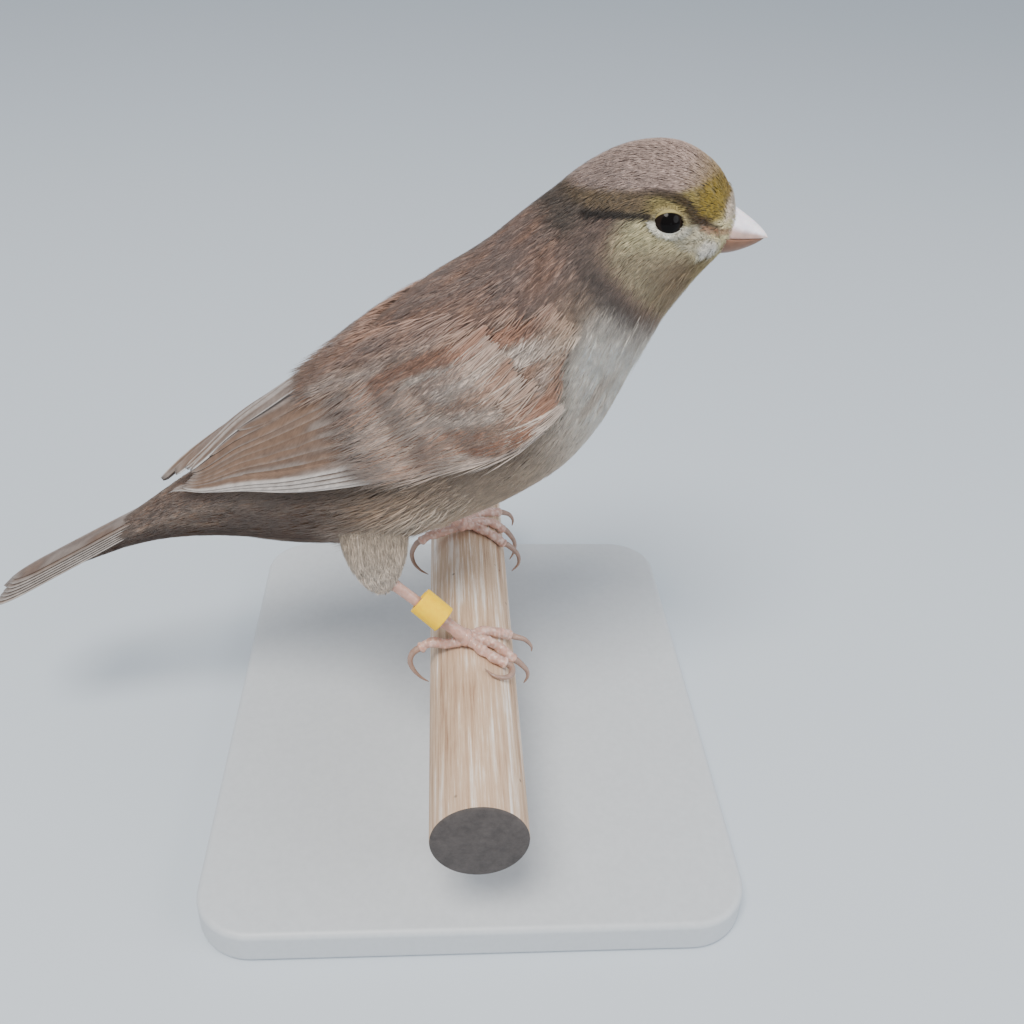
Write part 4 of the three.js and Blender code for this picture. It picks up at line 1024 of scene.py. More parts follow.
def bill_half(name, sign, height, reach, material):
    """One half of the bill, upper for sign 1 and lower for -1; reach is its share of the bill's length."""
    along = unit(BILL_TIP - BILL_ROOT)
    side = unit(np.cross([0, 0, 1], along))
    up = np.cross(along, side)
    length = np.linalg.norm(BILL_TIP - BILL_ROOT) * reach
    t, a = np.meshgrid(np.linspace(0, 1, 44), np.linspace(0, np.pi, 40), indexing="ij")
    taper = np.maximum(0.015, (1 - t ** 1.25) ** 0.8 if sign > 0 else (1 - t ** 1.5) ** 0.75)
    far = t * reach
    mouth = -0.5 * (1 - 0.9 * far) - 0.45 * np.sin(np.pi * far) * (1 - far)
    y = BILL_HALF_WIDTH * taper * np.cos(a) * (1 + 0.04 * np.sin(a))
    rise = height * taper * np.sin(a) ** (0.92 if sign > 0 else 1.0)
    drop = mouth + sign * (0.05 + rise)
    points = BILL_ROOT + along * (length * t)[..., None] + side * y[..., None] + up * drop[..., None]
    if sign > 0:
        for hand in (1, -1):
            near = np.linalg.norm(points - turn_head(np.array(NOSTRIL) * (1, -hand, 1)) - UP, axis=-1)
            points = points + side * hand * NOSTRIL_DEPTH * smooth(0.62, 0.3, near)[..., None]
    ends = np.stack([points[0].mean(0), points[-1].mean(0)])
    t_all = np.concatenate([t.ravel(), [0, 1]])
    high = np.concatenate([np.sin(a).ravel(), [0.5, 0.5]])
    if sign > 0:
        colour = toward(plain(t_all.shape, HORN_WHITE), HORN_EDGE, smooth(0.55, 0.2, high) * 0.85)
        colour = toward(colour, HORN_TIP, smooth(0.75, 1.0, t_all) * 0.6)
    else:
        colour = toward(plain(t_all.shape, HORN_LOW), HORN_LOW_EDGE, smooth(0.25, 0.0, t_all))
    triangles = tube_faces(*t.shape)
    piece = solid_mesh(name, np.concatenate([points.reshape(-1, 3), ends]),
                       triangles[:, ::-1] if sign > 0 else triangles, colour)
    piece.data.materials.append(material)
    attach(piece, "root")
    return piece


horn = feather_material("horn", 0.38, 0.0, gloss=0.5, soft=0.25, soft_radius=(0.0012, 0.0006, 0.0004))
upper_bill = bill_half("bill_upper_horn", 1, 4.4, 1.0, horn)
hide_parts("bill_upper")
lower_bill = bill_half("bill_lower_horn", -1, 3.2, 0.94, horn)
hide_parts("bill_lower")


# ---- Eyes and lids ----
# Dark glossy eyes set in the head, each in a ring of lid: olive-dark above, whitish next to the eye below and
# cheek-coloured further out, and darkened where it meets the ball.
EYE_BALL = 2.4
EYE_SEAT = 1.72
EYE_FRONT = (math.cos(math.radians(-6)), math.sin(math.radians(-6)), 0)
EYE_OUTWARD = np.array([0.12, -0.5, 0.0])
PUPIL, IRIS = (0.003, 0.002, 0.002), (0.012, 0.007, 0.005)
LID_OPENING = (1.90, 1.20)
LID_WIDTH = (0.62, 0.72)
LID_THICK = 0.5
LID_LOW, LID_HIGH = (0.66, 0.65, 0.58), (0.16, 0.13, 0.07)

eye_wet = new_material("eye_wet", {
    "shader": ("Principled BSDF", {"Roughness": 0.10, "Specular IOR Level": 0.09}),
    "colour": ("ShaderNodeAttribute", {"attribute_name": "Plumage"}),
}, ["colour.Color > shader.Base Color"])
lid_skin = feather_material("lid_skin", 0.6, 0.0)
for side, mirror in (("right", 1), ("left", -1)):
    # The eye's own directions: out of the head, forward along it and up.
    s, a = np.array(EYE[0]), np.array(mirror * EYE[1])
    spot = on_body(s, a, 0.0)
    ahead = unit(on_body(s + 0.05, a, 0.0) - spot)
    out = unit(np.cross(on_body(s, a + 0.05, 0.0) - spot, ahead))
    if out[1] * mirror > 0:
        out = -out
    out = unit(out * 0.85 + EYE_OUTWARD * (1, mirror, 1) * 0.5)
    forward = unit(EYE_FRONT - out * (EYE_FRONT @ out))
    above = np.array([0, 0, 1.0]) - out * out[2]
    above = unit(above - forward * (above @ forward))
    centre = spot - out * EYE_SEAT
    facing_in = np.dot(np.cross(forward, above), out) < 0

    round_about = np.linspace(0, 2 * np.pi, 48, endpoint=False)
    ring, turn = np.meshgrid(np.linspace(0, math.radians(80), 26), round_about, indexing="ij")
    bulge = EYE_BALL * (1 + 0.03 * np.exp(-(ring / 0.45) ** 2))
    steps = bulge * np.cos(ring), bulge * np.sin(ring) * np.cos(turn), bulge * np.sin(ring) * np.sin(turn)
    ball = centre + sum(way * step[..., None] for way, step in zip((out, forward, above), steps))
    back = centre - out * EYE_BALL * 0.6
    rows, sides = ring.shape
    grid = np.arange(rows * sides).reshape(rows, sides)
    beside = np.roll(grid, -1, 1)
    quads = np.stack([grid[:-1], grid[1:], beside[1:], beside[:-1]], -1).reshape(-1, 4)
    triangles = np.concatenate([quads[:, [0, 1, 2]], quads[:, [0, 2, 3]],
                                np.stack([beside[-1], grid[-1], np.full(sides, rows * sides)], -1)])
    iris = toward(plain((rows * sides + 1,), PUPIL), IRIS, np.append(smooth(0.55, 0.62, ring.ravel()), 1.0))
    eye = solid_mesh("eye_ball_" + side, np.concatenate([ball.reshape(-1, 3), [back]]),
                     triangles if facing_in else triangles[:, ::-1], iris)
    eye.data.materials.append(eye_wet)
    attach(eye, "root")
    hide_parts("eye_" + side)

    u, w = np.meshgrid(np.linspace(0, 1, 11), np.linspace(0, 2 * np.pi, 72, endpoint=False), indexing="ij")
    along = (LID_OPENING[0] + LID_WIDTH[0] * u) * np.cos(w)
    over = (LID_OPENING[1] + LID_WIDTH[1] * u) * np.sin(w) + 0.03 * u
    on_ball = np.sqrt(np.maximum(EYE_BALL ** 2 - along ** 2 - over ** 2, 0.1))
    crinkle = 0.05 * np.sin(w * 26 + 3 * u) * np.sin(np.pi * u)
    height = on_ball - 0.12 + 0.28 * smooth(0, 0.3, u) - 0.35 * u ** 3 + crinkle
    lid = centre + forward * along[..., None] + above * over[..., None] + out * height[..., None]
    low = smooth(0.35, -0.45, np.sin(w) + 0.15 * np.cos(w))
    pale = smooth(0.75, 0.3, u + 0.25 * (mottle(w * 4, u * 2, 15) - 0.5))
    shades = toward(plain(u.shape, OVER_EYE), LID_HIGH, smooth(0.3, 0.0, u))
    shades = toward(shades, CHEEK, smooth(0.2, -0.3, np.sin(w)))
    shades = toward(shades, LID_LOW, low * pale)
    shades = shades * (1 - 0.85 * smooth(0.34, 0.12, u))[..., None]
    # Outwards over the lid, round its outer edge, back under it and round the opening.
    rows, sides = u.shape
    top = np.arange(rows * sides).reshape(rows, sides)
    rounds = np.concatenate([top, top[::-1] + rows * sides, top[:1]])
    quads = np.stack([rounds[:-1], rounds[1:], np.roll(rounds[1:], -1, 1), np.roll(rounds[:-1], -1, 1)], -1)
    quads = quads.reshape(-1, 4)
    triangles = np.concatenate([quads[:, [0, 1, 2]], quads[:, [0, 2, 3]]])
    points = np.concatenate([lid.reshape(-1, 3), (lid - out * LID_THICK).reshape(-1, 3)])
    rim = solid_mesh("eye_lids_" + side, points, triangles[:, ::-1] if facing_in else triangles,
                     np.concatenate([shades.reshape(-1, 3)] * 2))
    rim.data.materials.append(lid_skin)
    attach(rim, "root")


# ---- Thighs ----
# The feathered part of each leg: a small cone of skin from the flank down to the ankle, in the colours of
# the belly, under loose pale down.

# From the flank down, in mm: the place (x, y, z), half the length and half the width.
THIGH = np.array([
    [-16.6, 6.8, 24.5, 5.2, 3.2],
    [-15.9, 9.6, 20.4, 5.3, 3.9],
    [-15.3, 14.0, 16.4, 4.4, 3.5],
    [-14.9, 15.8, 13.8, 3.0, 2.6],
    [-14.5, 16.3, 12.2, 1.9, 1.7],
]).T
THIGH_FOOT = (0.58, 0.50, 0.42)


def thigh_surface(mirror):
    """One thigh's surface: s is 4 at the flank and 0 at the ankle, and the angle goes round from the
    front."""
    def on_thigh(s, angle, lift):
        x, y, z, long, wide = (follow(row, 4 - s) for row in THIGH)
        across = y + (wide + lift) * np.sin(angle)
        return np.stack([x + (long + lift) * np.cos(angle), mirror * across, z], -1) + UP
    return on_thigh


def thigh_colour(s, angle):
    return toward(plain(s.shape, BELLY) * 0.62, THIGH_FOOT, 0.9 * smooth(2.8, 1.0, s))


def thigh_depth(s):
    return 0.5 + 0 * s


def down_length(s, angle):
    return np.minimum(1.9 + 1.2 * s, 0.8 + 1.9 * s)


for side, mirror in (("right", -1), ("left", 1)):
    surface = thigh_surface(mirror)
    round_about = np.linspace(0, 2 * np.pi, 36, endpoint=False)[::-mirror]
    thigh_skin = skin_mesh("thigh_skin_" + side, surface, np.linspace(0, 4, 24), round_about, thigh_depth,
                           thigh_colour, bake_place)
    thigh_skin.data.materials.append(body_feathers)
    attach(thigh_skin, "root")
    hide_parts("thigh_" + side)
    down_tufts = body_coat("coat_thigh_" + side, (0.35, 3.9), (-180, 180), row_gap=0.8, gap=0.8,
                           length=down_length, half=0.75, barbs=8, strand=0.07, stations=4, sink=0.5,
                           rise=lambda s, a: 0.15 + 0.35 * rng.random(len(s)), fringe=0.2, surface=surface,
                           colour=thigh_colour, ragged=0.4,
                           lie=lambda s, a: rng.normal(0, 0.2, len(s)) * smooth(0.5, 2, s))


# ---- Shanks, feet and claws ----
# Slim pink shanks with a row of scutes down the front, toes with soft pads that grip the perch, three forward
# and one back, and curved claws of clear brownish horn.
PERCH_RADIUS = 7.0
PERCH_AXIS = PERCH_TOP - PERCH_RADIUS


def on_perch(degrees, y, height):
    """A point from its degrees round the perch, its place along it and its height over it."""
    a = math.radians(degrees)
    radius = PERCH_RADIUS + height
    return np.array([radius * math.sin(a), y, PERCH_AXIS + radius * math.cos(a)])


def spline(points, count):
    """Evenly spaced points on a smooth curve through the given ones, and its length."""
    points = np.array(points, float)
    t = np.linspace(0, len(points) - 1, 200)
    fine = np.stack([follow(column, t) for column in points.T], -1)
    arc = np.concatenate([[0], np.cumsum(np.linalg.norm(np.diff(fine, axis=0), axis=1))])
    even = np.linspace(0, arc[-1], count)
    return np.stack([np.interp(even, arc, column) for column in fine.T], -1), arc[-1]


def tube(points, radii, up, sides=20, shape=None):
    """A closed round limb along points; shape(i, angle) swells it, angle 0 being its upper side."""
    ahead = unit(np.gradient(points, axis=0))
    side = unit(np.cross(ahead, up))
    top = np.cross(side, ahead)
    a = np.linspace(0, 2 * np.pi, sides, endpoint=False)
    radius = radii[:, None] * (1 if shape is None else shape(np.arange(len(points))[:, None], a[None]))
    rings = (points[:, None] + top[:, None] * (radius * np.cos(a))[..., None]
             + side[:, None] * (radius * np.sin(a))[..., None])
    ends = np.stack([points[0] - ahead[0] * radii[0] * 0.5, points[-1] + ahead[-1] * radii[-1] * 0.6])
    return np.concatenate([rings.reshape(-1, 3), ends]), tube_faces(len(points), sides)[:, ::-1]


def away_from_perch(path):
    return unit((path - (0, 0, PERCH_AXIS)) * (1, 0, 1))


def foot_piece(name, parts, material, stands_for):
    """Limbs as one piece; each part has its points, its triangles and one colour or one per point."""
    points, triangles, colours = [], [], []
    start = 0
    for p, t, c in parts:
        points.append(p)
        triangles.append(t + start)
        colours.append(np.ones((len(p), 3)) * c)
        start += len(p)
    piece = solid_mesh(name, *map(np.concatenate, (points, triangles, colours)))
    piece.data.materials.append(material)
    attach(piece, "root")
    if stands_for:
        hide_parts(stands_for)


def scutes(count, rows, depth=0.16, pad=0.2):
    """Scales: ridges over a toe's upper side and soft pads under it."""
    def shape(i, a):
        place = i / (rows - 1) * count
        over = depth * (np.abs(np.sin(np.pi * place)) ** 0.6 - 0.6) * np.clip(np.cos(a) + 0.35, 0, 1)
        under = pad * np.abs(np.sin(np.pi * place * 0.36)) * np.clip(-np.cos(a) + 0.1, 0, 1)
        return 1 + over + under
    return shape


SKIN_PINK = (0.54, 0.325, 0.26)
SKIN_PALE = (0.78, 0.60, 0.53)
CLAW_HORN = (0.34, 0.22, 0.17)
ANKLE = np.array([-13.9, 16.4, 13.7 + PERCH_TOP])
# Where the toes meet: degrees round the perch, place along it and height over it.
HUB = (-9, 16.2, 1.85)
# The hind toe first, then the three front ones, each by points (degrees round the perch, place along it and
# height over it), and its claw by points (x, y, z), x and z from the perch's axis.
FEET = {
    "right": [
        ([(-9, -16.2, 1.9), (-21, -16.0, 1.15), (-33, -15.8, 1.5), (-43, -15.6, 2.9), (-55, -15.8, 3.7)],
         [(-9.8, -16.2, 5.5), (-10.2, -16.5, 3.9), (-9.6, -16.6, 2.2), (-8.5, -16.6, 0.7),
          (-7.2, -16.6, -0.3)]),
        ([(-9, -16.2, 1.9), (1, -14.6, 1.2), (13, -13.6, 1.05), (29, -13.0, 1.1), (48, -12.0, 1.4)],
         [(6.9, -11.9, 5.2), (8.6, -11.7, 4.4), (9.8, -11.6, 2.9), (9.9, -11.6, 1.7)]),
        ([(-9, -16.2, 1.9), (9, -15.9, 1.15), (26, -16.3, 1.0), (42, -17.0, 1.0), (54, -17.1, 1.1)],
         [(7.3, -17.1, 4.2), (8.6, -17.1, 2.6), (8.9, -17.0, 1.0), (8.3, -17.0, -0.4)]),
        ([(-9, -16.2, 1.9), (2, -17.5, 1.15), (14, -18.9, 1.0), (27, -19.7, 1.0), (39, -19.7, 1.1)],
         [(5.9, -20.1, 5.8), (5.8, -21.7, 5.8), (4.7, -23.0, 6.3), (3.0, -23.4, 7.0), (1.5, -22.2, 7.4)]),
    ],
    "left": [
        ([(-9, 16.2, 1.9), (-20, 16.1, 1.3), (-37, 16.1, 1.5), (-50, 16.2, 2.5), (-63, 16.3, 3.2)],
         [(-9.8, 16.5, 3.9), (-10.6, 16.6, 1.7), (-10.2, 16.6, -0.5), (-9.0, 16.6, -2.2),
          (-7.5, 16.6, -3.2)]),
        ([(-9, 16.2, 1.9), (4, 16.5, 1.1), (20, 15.9, 0.95), (38, 15.6, 0.95), (56, 15.4, 1.2)],
         [(7.5, 15.4, 4.4), (9.3, 15.3, 2.4), (9.5, 15.2, 0.3), (8.3, 15.2, -1.4)]),
        ([(-9, 16.2, 1.9), (6, 18.0, 1.1), (24, 19.3, 0.95), (42, 20.2, 0.95), (58, 20.6, 1.1)],
         [(7.4, 20.7, 4.1), (9.0, 20.8, 1.6), (9.1, 20.9, -0.8), (8.3, 20.9, -2.8)]),
        ([(-9, 16.2, 1.9), (4, 19.3, 1.1), (18, 21.6, 1.0), (34, 23.4, 1.1), (48, 24.6, 1.6)],
         [(6.7, 24.8, 5.7), (8.2, 25.6, 4.6), (9.0, 26.1, 3.0), (8.9, 26.2, 1.6)]),
    ],
}
leg_skin = feather_material("leg_skin", 0.22, 0.0, 0.7, 0.55, 0.3, (0.0015, 0.0006, 0.0004))
claw_horn = feather_material("claw_horn", 0.25, 0.0, 0.0, 0.6, 0.4, (0.001, 0.0007, 0.0005))
for side, mirror in (("right", -1), ("left", 1)):
    ankle = ANKLE * (1, mirror, 1)
    hub = on_perch(*HUB) * (1, mirror, 1)
    path = spline([ankle, ankle + (hub - ankle) * 0.5, hub], 64)[0]
    t = np.linspace(0, 1, 64)
    radii = 0.86 + 0.42 * np.exp(-(t / 0.10) ** 2) + 0.20 * smooth(0.82, 1.0, t) + 0.14 * smooth(0.45, 0.6, t)
    shank = tube(path, radii, (1, 0, 0.3), 22, scutes(11, 64, 0.06, 0.0))
    foot_piece("shank_" + side, [(*shank, SKIN_PINK)], leg_skin, "tarsus_" + side)

    path = spline([hub + (-0.9, 0, 0.2), hub, hub + (1.1, 0, -0.1)], 12)[0]
    radii = 1.35 * np.sqrt(np.clip(1 - np.linspace(-0.95, 0.95, 12) ** 2, 0.05, 1)) + 0.15
    toes, claws = [(*tube(path, radii, (0, 0, 1)), SKIN_PINK)], []
    for number, (toe, claw) in enumerate(FEET[side]):
        path, length = spline([on_perch(*p) for p in toe], 80)
        t = np.linspace(0, 1, 80)
        joint = np.abs(np.sin(np.pi * (t * (3 if number else 2) + 0.25)))
        radii = 0.72 + 0.14 * joint - 0.08 * t + 0.12 * np.exp(-((t - 0.94) / 0.06) ** 2)
        radii = radii * np.sqrt(np.clip(1 - np.clip((t - 0.965) / 0.04, 0, 1) ** 2, 0.1, 1))
        points, triangles = tube(path, radii, away_from_perch(path), 22, scutes(int(length * 1.25), 80))
        spots = mottle(points[:, 0] * 2.6 + 60, points[:, 1] * 2.6 + points[:, 2] * 1.7 + 90, 21 + number)
        tone = toward(plain((len(points),), SKIN_PINK), SKIN_PALE, 0.6 * smooth(0.4, 0.9, spots))
        toes.append((points, triangles, tone))
        path = spline([path[-4]] + [np.array(p) + (0, 0, PERCH_AXIS) for p in claw], 30)[0]
        radii = 0.54 * (1 - np.linspace(0, 1, 30)) ** 0.65 + 0.05
        claws.append((*tube(path, radii, away_from_perch(path), 14), CLAW_HORN))
    foot_piece("toes_" + side, toes, leg_skin, "foot_" + side)
    foot_piece("claws_" + side, claws, claw_horn, None)


# ---- Leg ring ----
# A plain closed ring of glossy yellow plastic with rounded rims. It hangs loose on the right shank, a little
# tilted towards the viewer, and its surface is lightly scuffed.
RING_OUTER, RING_INNER, RING_LENGTH = 4.5 * MM, 3.3 * MM, 5.0 * MM
RING_ALONG = 0.56
RING_OFF_AXIS = (0.15, 0, 0.35)
RING_TILT = 0.36 * Vector((0.074, 0.834, -0.547))


def bevel(piece, name, width, segments, angle=30, limit="ANGLE"):
    """Rounds a piece's edges, width in mm, and applies it."""
    rounding = piece.modifiers.new(name, "BEVEL")
    rounding.width = width * MM
    rounding.segments = segments
    rounding.limit_method = limit
    rounding.angle_limit = math.radians(angle)
    bpy.ops.object.modifier_apply(modifier=name)


bpy.ops.object.select_all(action="DESELECT")
bpy.ops.mesh.primitive_cylinder_add(vertices=96, radius=RING_OUTER / 2, depth=RING_LENGTH,
                                    end_fill_type="NOTHING")
ring = bpy.context.object
ring.name = "shank_ring"
thick = ring.modifiers.new("thick", "SOLIDIFY")
thick.thickness = (RING_OUTER - RING_INNER) / 2
thick.offset = -1
bpy.ops.object.modifier_apply(modifier="thick")
bevel(ring, "rounded", 0.2, 4, 60)
bpy.ops.object.shade_smooth_by_angle(angle=math.radians(40))
ankle, hub = ANKLE * (1, -1, 1), on_perch(*HUB) * (1, -1, 1)
middle = ankle + (hub - ankle) * RING_ALONG + RING_OFF_AXIS
axis = (Vector(hub - ankle).normalized() - RING_TILT).normalized()
tilt = Vector((0, 0, 1)).rotation_difference(axis).to_matrix().to_4x4()
ring.matrix_world = Matrix.Translation(Vector(middle) * MM) @ tilt
bpy.ops.object.transform_apply(location=True, rotation=True, scale=True)
ring_plastic = new_material("ring_plastic", {
    "shader": ("Principled BSDF", {"Specular IOR Level": 0.2}),
    "place": ("ShaderNodeTexCoord", {}),
    "scuffs": ("ShaderNodeTexNoise", {"Scale": 1400, "Detail": 4}),
    "tone": ("ShaderNodeValToRGB", {"stops": [(0.3, (0.95, 0.55, 0.0)), (0.65, (1.0, 0.63, 0.0))]}),
    "rough": ("ShaderNodeMapRange", {"To Min": 0.12, "To Max": 0.28}),
}, ["place.Object > scuffs.Vector", "scuffs.Fac > tone.Fac", "scuffs.Fac > rough.Value",
    "tone.Color > shader.Base Color", "rough.Result > shader.Roughness"])
ring.data.materials.append(ring_plastic)
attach(ring, "root")
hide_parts("leg_ring")


# ---- Perch ----
# A cut length of 14 mm round dowel of pale softwood, worn and washed out in streaks, with a grey sawn end.
bpy.ops.object.select_all(action="DESELECT")
bpy.ops.mesh.primitive_cylinder_add(vertices=128, radius=PERCH_RADIUS * MM, depth=99 * MM,
                                    location=(0, 0, PERCH_AXIS * MM), rotation=(math.pi / 2, 0, 0))
dowel = bpy.context.object
dowel.name = "perch_dowel"
bpy.ops.object.transform_apply(location=True, rotation=True, scale=True)
bevel(dowel, "worn_rim", 0.5, 4)
bpy.ops.object.shade_smooth_by_angle(angle=math.radians(35))

# Grain along the wood, darker bands in it, patches washed pale and a few dark specks.
wood_grain = new_group("wood_grain", {"Vector": "Vector", "Fineness": "Float"},
                       {"Tone": "Float", "Grain": "Float", "Specks": "Float"}, {
    "place": ("ShaderNodeTexCoord", {}),
    "grain": ("ShaderNodeTexNoise", {"Detail": 7, "Roughness": 0.72}),
    "bands": ("ShaderNodeTexNoise", {"Scale": 330, "Detail": 4}),
    "washed": ("ShaderNodeTexNoise", {"Scale": 75, "Detail": 4}),
    "pale": ("ShaderNodeMath", {"operation": "MULTIPLY", 1: 0.17}),
    "banded": ("ShaderNodeMath", {"operation": "MULTIPLY_ADD", 1: 0.28}),
    "grained": ("ShaderNodeMath", {"operation": "MULTIPLY_ADD", 1: 0.55}),
    "specks": ("ShaderNodeTexVoronoi", {"Scale": 210}),
    "dark": ("ShaderNodeMapRange", {"From Min": 0.03, "From Max": 0.08, "To Min": 0.3, "To Max": 1.0}),
}, ["given.Vector > grain.Vector", "given.Fineness > grain.Scale", "given.Vector > bands.Vector",
    "place.Object > washed.Vector", "place.Object > specks.Vector", "washed.Fac > pale.0",
    "bands.Fac > banded.0", "pale.Value > banded.2", "grain.Fac > grained.0", "banded.Value > grained.2",
    "specks.Distance > dark.Value", "grained.Value > out.Tone", "grain.Fac > out.Grain",
    "dark.Result > out.Specks"])


def wood_material(name, stretch, fineness, shades):
    """Wood from the grain group: its shades by position on the ramp, and a low relief along the grain."""
    return new_material(name, {
        "shader": ("Principled BSDF", {"Roughness": 0.7}),
        "place": ("ShaderNodeTexCoord", {}),
        "mapping": ("ShaderNodeMapping", {"Scale": stretch}),
        "grain": ("ShaderNodeGroup", {"node_tree": wood_grain, "Fineness": fineness}),
        "tone": ("ShaderNodeValToRGB", {"stops": shades}),
        "mix": ("ShaderNodeVectorMath", {"operation": "SCALE"}),
        "bump": ("ShaderNodeBump", {"Strength": 0.6, "Distance": 0.0003}),
    }, ["place.Object > mapping.Vector", "mapping.Vector > grain.Vector", "grain.Tone > tone.Fac",
        "tone.Color > mix.0", "grain.Specks > mix.Scale", "mix.Vector > shader.Base Color",
        "grain.Grain > bump.Height", "bump.Normal > shader.Normal"])


WORN_WOOD = [(0.38, (0.31, 0.175, 0.10)), (0.44, (0.48, 0.32, 0.21)), (0.51, (0.60, 0.43, 0.30)),
             (0.59, (0.85, 0.79, 0.73))]
SAWN_WOOD = [(0.3, (0.03, 0.025, 0.024)), (0.72, (0.11, 0.094, 0.088))]
dowel.data.materials.append(wood_material("perch_wood", (1, 0.03, 1), 1500, WORN_WOOD))
dowel.data.materials.append(wood_material("perch_end_grain", (1, 0.2, 1), 700, SAWN_WOOD))
for face in dowel.data.polygons:
    face.material_index = 1 if abs(face.normal.y) > 0.5 else 0
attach(dowel, "root")
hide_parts("perch")


# ---- Display stand ----
# A plain flat base with rounded corners, painted a satin grey, and two short brushed steel rods that stand
# in it and carry the perch.
BASE_SIZE = (84 * MM, 100 * MM, 6 * MM)
ROD_RADIUS, ROD_LENGTH = 2 * MM, 13 * MM
ROD_MIDDLE = 12.4 * MM
bpy.ops.object.select_all(action="DESELECT")
bpy.ops.mesh.primitive_cube_add(size=1, location=(0, 0, BASE_SIZE[2] / 2), scale=BASE_SIZE)
base = bpy.context.object
base.name = "stand_plate"
bpy.ops.object.transform_apply(location=True, rotation=True, scale=True)
weights = base.data.attributes.new("bevel_weight_edge", "FLOAT", "EDGE")
for edge, weight in zip(base.data.edges, weights.data):
    low, high = (base.data.vertices[i].co for i in edge.vertices)
    weight.value = 1.0 if abs(low.z - high.z) > 1 * MM else 0.0
bevel(base, "round_corners", 9, 16, limit="WEIGHT")
bevel(base, "rounded_rim", 1.0, 5, 60)
bpy.ops.object.shade_smooth_by_angle(angle=math.radians(35))
even = base.modifiers.new("even_normals", "WEIGHTED_NORMAL")
even.keep_sharp = True
bpy.ops.object.modifier_apply(modifier="even_normals")

satin_grain = new_group("satin_grain", {"Stretch": "Vector", "Fineness": "Float"},
                        {"Tone": "Float", "Normal": "Vector"}, {
    "place": ("ShaderNodeTexCoord", {}),
    "mapping": ("ShaderNodeMapping", {}),
    "noise": ("ShaderNodeTexNoise", {"Detail": 5}),
    "bump": ("ShaderNodeBump", {"Strength": 0.15, "Distance": 0.0001}),
}, ["place.Object > mapping.Vector", "given.Stretch > mapping.Scale", "mapping.Vector > noise.Vector",
    "given.Fineness > noise.Scale", "noise.Fac > bump.Height", "noise.Fac > out.Tone",
    "bump.Normal > out.Normal"])


def satin_material(name, dark, light, roughness, metallic, scale, stretch):
    """Paint or metal with a fine satin grain from the shared group, stretched along its brushing."""
    return new_material(name, {
        "shader": ("Principled BSDF", {"Metallic": metallic}),
        "grain": ("ShaderNodeGroup", {"node_tree": satin_grain, "Stretch": stretch, "Fineness": scale}),
        "tone": ("ShaderNodeValToRGB", {"stops": [(0, dark), (1, light)]}),
        "rough": ("ShaderNodeMapRange", {"To Min": roughness * 0.8, "To Max": roughness * 1.25}),
    }, ["grain.Tone > tone.Fac", "grain.Tone > rough.Value", "tone.Color > shader.Base Color",
        "rough.Result > shader.Roughness", "grain.Normal > shader.Normal"])


base.data.materials.append(satin_material("stand_paint", dark=(0.50, 0.53, 0.56), light=(0.58, 0.61, 0.64),
                                         roughness=0.45, metallic=0.0, scale=900, stretch=(1, 1, 1)))
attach(base, "root")
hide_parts("stand_base")
rod_steel = satin_material("rod_steel", dark=(0.45, 0.46, 0.48), light=(0.66, 0.67, 0.68), roughness=0.3,
                           metallic=1.0, scale=1500, stretch=(1, 1, 0.05))
for name, y in (("near", -37), ("far", 37)):
    bpy.ops.object.select_all(action="DESELECT")
    bpy.ops.mesh.primitive_cylinder_add(vertices=64, radius=ROD_RADIUS, depth=ROD_LENGTH,
                                        location=(0, y * MM, ROD_MIDDLE))
    rod = bpy.context.object
    rod.name = "stand_post_" + name
    bpy.ops.object.transform_apply(location=True, rotation=True, scale=True)
    bevel(rod, "chamfer", 0.3, 3)
    bpy.ops.object.shade_smooth_by_angle(angle=math.radians(35))
    rod.data.materials.append(rod_steel)
    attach(rod, "root")
    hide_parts("stand_rod_" + name)


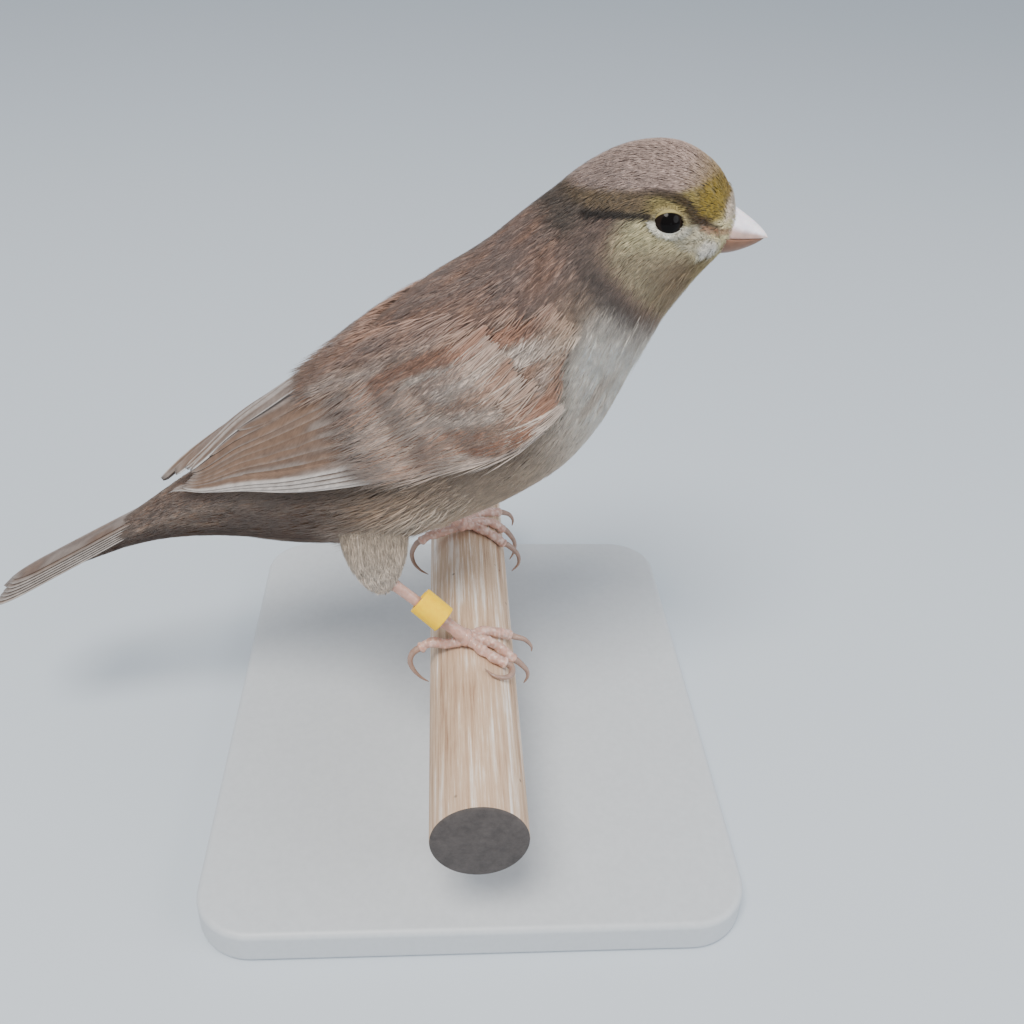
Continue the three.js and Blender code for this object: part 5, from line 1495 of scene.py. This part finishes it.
# ---- Camera, light and floor ----
# The view of the photo, from above the bird's right side, over a plain pale floor that isn't part of the
# model. The light is soft and even: a warm key from above, a cooler fill from before the bird and a pale sky.
camera_data = bpy.data.cameras.new("camera")
camera_data.lens = 36.74
camera_data.sensor_width = 36
camera_data.clip_start = 0.01
camera = bpy.data.objects.new("camera", camera_data)
bpy.context.scene.collection.objects.link(camera)
# The view's right, down and forward directions, and the camera's place in mm.
CAMERA_RIGHT = Vector((0.99724, -0.05985, 0.04395))
CAMERA_DOWN = Vector((0.00393, -0.54853, -0.83612))
CAMERA_AHEAD = Vector((0.07415, 0.83399, -0.54678))
CAMERA_PLACE = Vector((-6.414, -144.565, 141.781))
turn = Matrix([CAMERA_RIGHT, -CAMERA_DOWN, -CAMERA_AHEAD]).transposed()
camera.matrix_world = Matrix.Translation(CAMERA_PLACE * MM) @ turn.to_4x4()
bpy.context.scene.camera = camera

floor_paint = new_material("floor_paint", {
    "shader": ("Principled BSDF", {"Base Color": (0.56, 0.62, 0.68, 1), "Roughness": 0.8})})
bpy.ops.mesh.primitive_plane_add(size=4, location=(0, 0, 0))
floor = bpy.context.object
floor.name = "floor"
floor.data.materials.append(floor_paint)
floor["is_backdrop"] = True

world = bpy.data.worlds.new("studio")
world.use_nodes = True
wire(world.node_tree, {"sky": ("Background", {"Color": (0.90, 0.94, 1.0, 1), "Strength": 0.75})}, [])
bpy.context.scene.world = world


LIT_POINT = Vector((0, 0, 0.07))


def soft_light(name, place, size, power, colour):
    """A round soft light that shines on the bird."""
    data = bpy.data.lights.new(name, "AREA")
    data.shape = "DISK"
    data.size = size
    data.energy = power
    data.color = colour
    lamp = bpy.data.objects.new(name, data)
    bpy.context.scene.collection.objects.link(lamp)
    lamp.location = place
    lamp.rotation_euler = (LIT_POINT - Vector(place)).to_track_quat("-Z", "Y").to_euler()


soft_light("key", (-0.15, -0.35, 0.75), size=0.35, power=7.5, colour=(1.0, 0.95, 0.88))
soft_light("fill", (0.6, -0.3, 0.35), size=0.5, power=2.0, colour=(0.95, 0.97, 1.0))

boxes = {"cad": cad_box, "visual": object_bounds()}
{name: [list(map(float, corner)) for corner in box] for name, box in boxes.items()}
